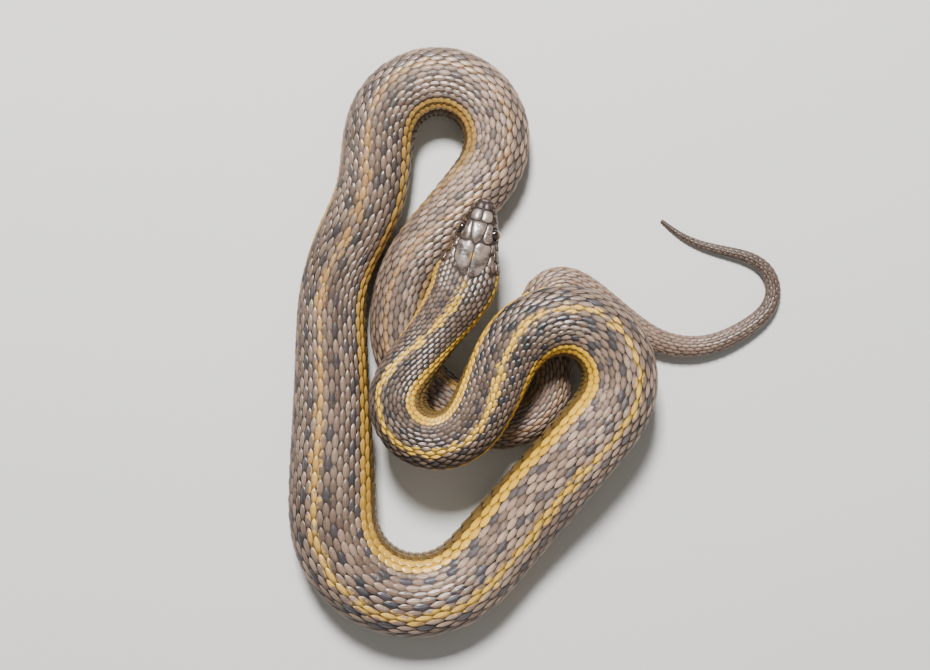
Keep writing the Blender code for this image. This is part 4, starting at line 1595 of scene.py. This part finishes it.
class SNAKE_OT_add_back_scales(bpy.types.Operator):
    """Add the rows of keeled scales over the back and sides"""
    bl_idname = "snake.add_back_scales"
    bl_label = "Add Back Scales"

    def execute(self, context):
        surface, colours = find_surface(), context.scene.snake_colours
        sets = back_scales(surface, Rows(surface), Shields(surface), context.scene.snake_sizes)
        form = ScaleForm((SCALE_ACROSS, SCALE_ALONG), SCALE_OUTLINE, scale_shape, thick=0.22)
        # Edge and keel set the strength of each scale's painted shade and painted highlight.
        body = scale_material("Keeled scales", colours, edge=0.62, keel=0.25, roughness=0.36)
        tail = scale_material("Tail scales", colours, edge=0.6, keel=0.3, roughness=0.4)
        start = 0.0
        for name, end in SCALE_PIECES:
            chosen = (sets["at"] >= start) & (sets["at"] < end)
            if not chosen.any():
                raise RuntimeError("no scales for " + name)
            on_tail = name == "scales_tail"
            mesh = form.mesh(name, surface, pick(sets, chosen))
            add_piece(name, mesh, tail if on_tail else body)
            start = end
        return {"FINISHED"}


class SNAKE_OT_add_belly_plates(bpy.types.Operator):
    """Add the wide plates under the body, the pairs under the tail and the throat's small scales"""
    bl_idname = "snake.add_belly_plates"
    bl_label = "Add Belly Plates"

    def execute(self, context):
        surface, colours = find_surface(), context.scene.snake_colours
        # Belly plates take only faint painted shade at their roots and edges, and no keel highlight.
        material = scale_material("Belly plates", colours, edge=0.15, keel=0.0, roughness=0.35)
        plate = ScaleForm((PLATE_ACROSS, PLATE_ALONG), PLATE_OUTLINE, smooth_shape, thick=0.25, graded=True)
        mesh = plate.mesh("belly_plates", surface, belly_plates(surface, context.scene.snake_sizes))
        add_piece("belly_plates", mesh, material)
        small = ScaleForm((SCALE_ACROSS, SCALE_ALONG), SCALE_OUTLINE, smooth_shape, thick=0.25)
        mesh = small.mesh("throat_scales", surface, throat_scales(surface, Shields(surface)))
        add_piece("throat_scales", mesh, material)
        return {"FINISHED"}


class SNAKE_OT_set_stage(bpy.types.Operator):
    """Add the floor, the lights and the camera over the coil"""
    bl_idname = "snake.set_stage"
    bl_label = "Set Stage"

    def execute(self, context):
        stage = context.scene.snake_stage
        x, y = (side * MM for side in VIEW_CENTRE)
        add_floor(stage.floor_size, stage.floor_colour)
        add_area_light("key_light", stage.key_power, *KEY_LAMP, (x, y, 0.0))
        add_area_light("fill_light", stage.fill_power, *FILL_LAMP, (x, y, 0.0))
        add_sky(stage.sky)
        add_camera((x, y, VIEW_HEIGHT * MM))
        return {"FINISHED"}


OPERATORS = (
    SNAKE_OT_add_skin,
    SNAKE_OT_add_eyes,
    SNAKE_OT_add_head_shields,
    SNAKE_OT_add_back_scales,
    SNAKE_OT_add_belly_plates,
    SNAKE_OT_set_stage,
)


class SNAKE_PT_sidebar(bpy.types.Panel):
    """Lists the snake's sizes and colours and the steps that build it"""
    bl_label = "Garter Snake"
    bl_idname = "SNAKE_PT_sidebar"
    bl_space_type = "VIEW_3D"
    bl_region_type = "UI"
    bl_category = "Garter Snake"

    def draw(self, context):
        for group in (context.scene.snake_sizes, context.scene.snake_colours, context.scene.snake_stage):
            box = self.layout.box()
            for name in group.bl_rna.properties.keys():
                if name not in ("rna_type", "name"):
                    box.prop(group, name)
        for operator in OPERATORS:
            self.layout.operator(operator.bl_idname)


GROUPS = {"snake_sizes": SnakeSizes, "snake_colours": SnakeColours, "snake_stage": StageSettings}
CLASSES = (*GROUPS.values(), *OPERATORS, SNAKE_PT_sidebar)


def register():
    for made in CLASSES:
        bpy.utils.register_class(made)
    for name, group in GROUPS.items():
        setattr(bpy.types.Scene, name, PointerProperty(type=group))


def unregister():
    for name in GROUPS:
        delattr(bpy.types.Scene, name)
    for made in reversed(CLASSES):
        bpy.utils.unregister_class(made)


def main():
    register()
    bpy.ops.snake.add_skin()
    bpy.ops.snake.add_eyes()
    bpy.ops.snake.add_head_shields()
    bpy.ops.snake.add_back_scales()
    bpy.ops.snake.add_belly_plates()
    bpy.ops.snake.set_stage()


if __name__ == "__main__":
    main()
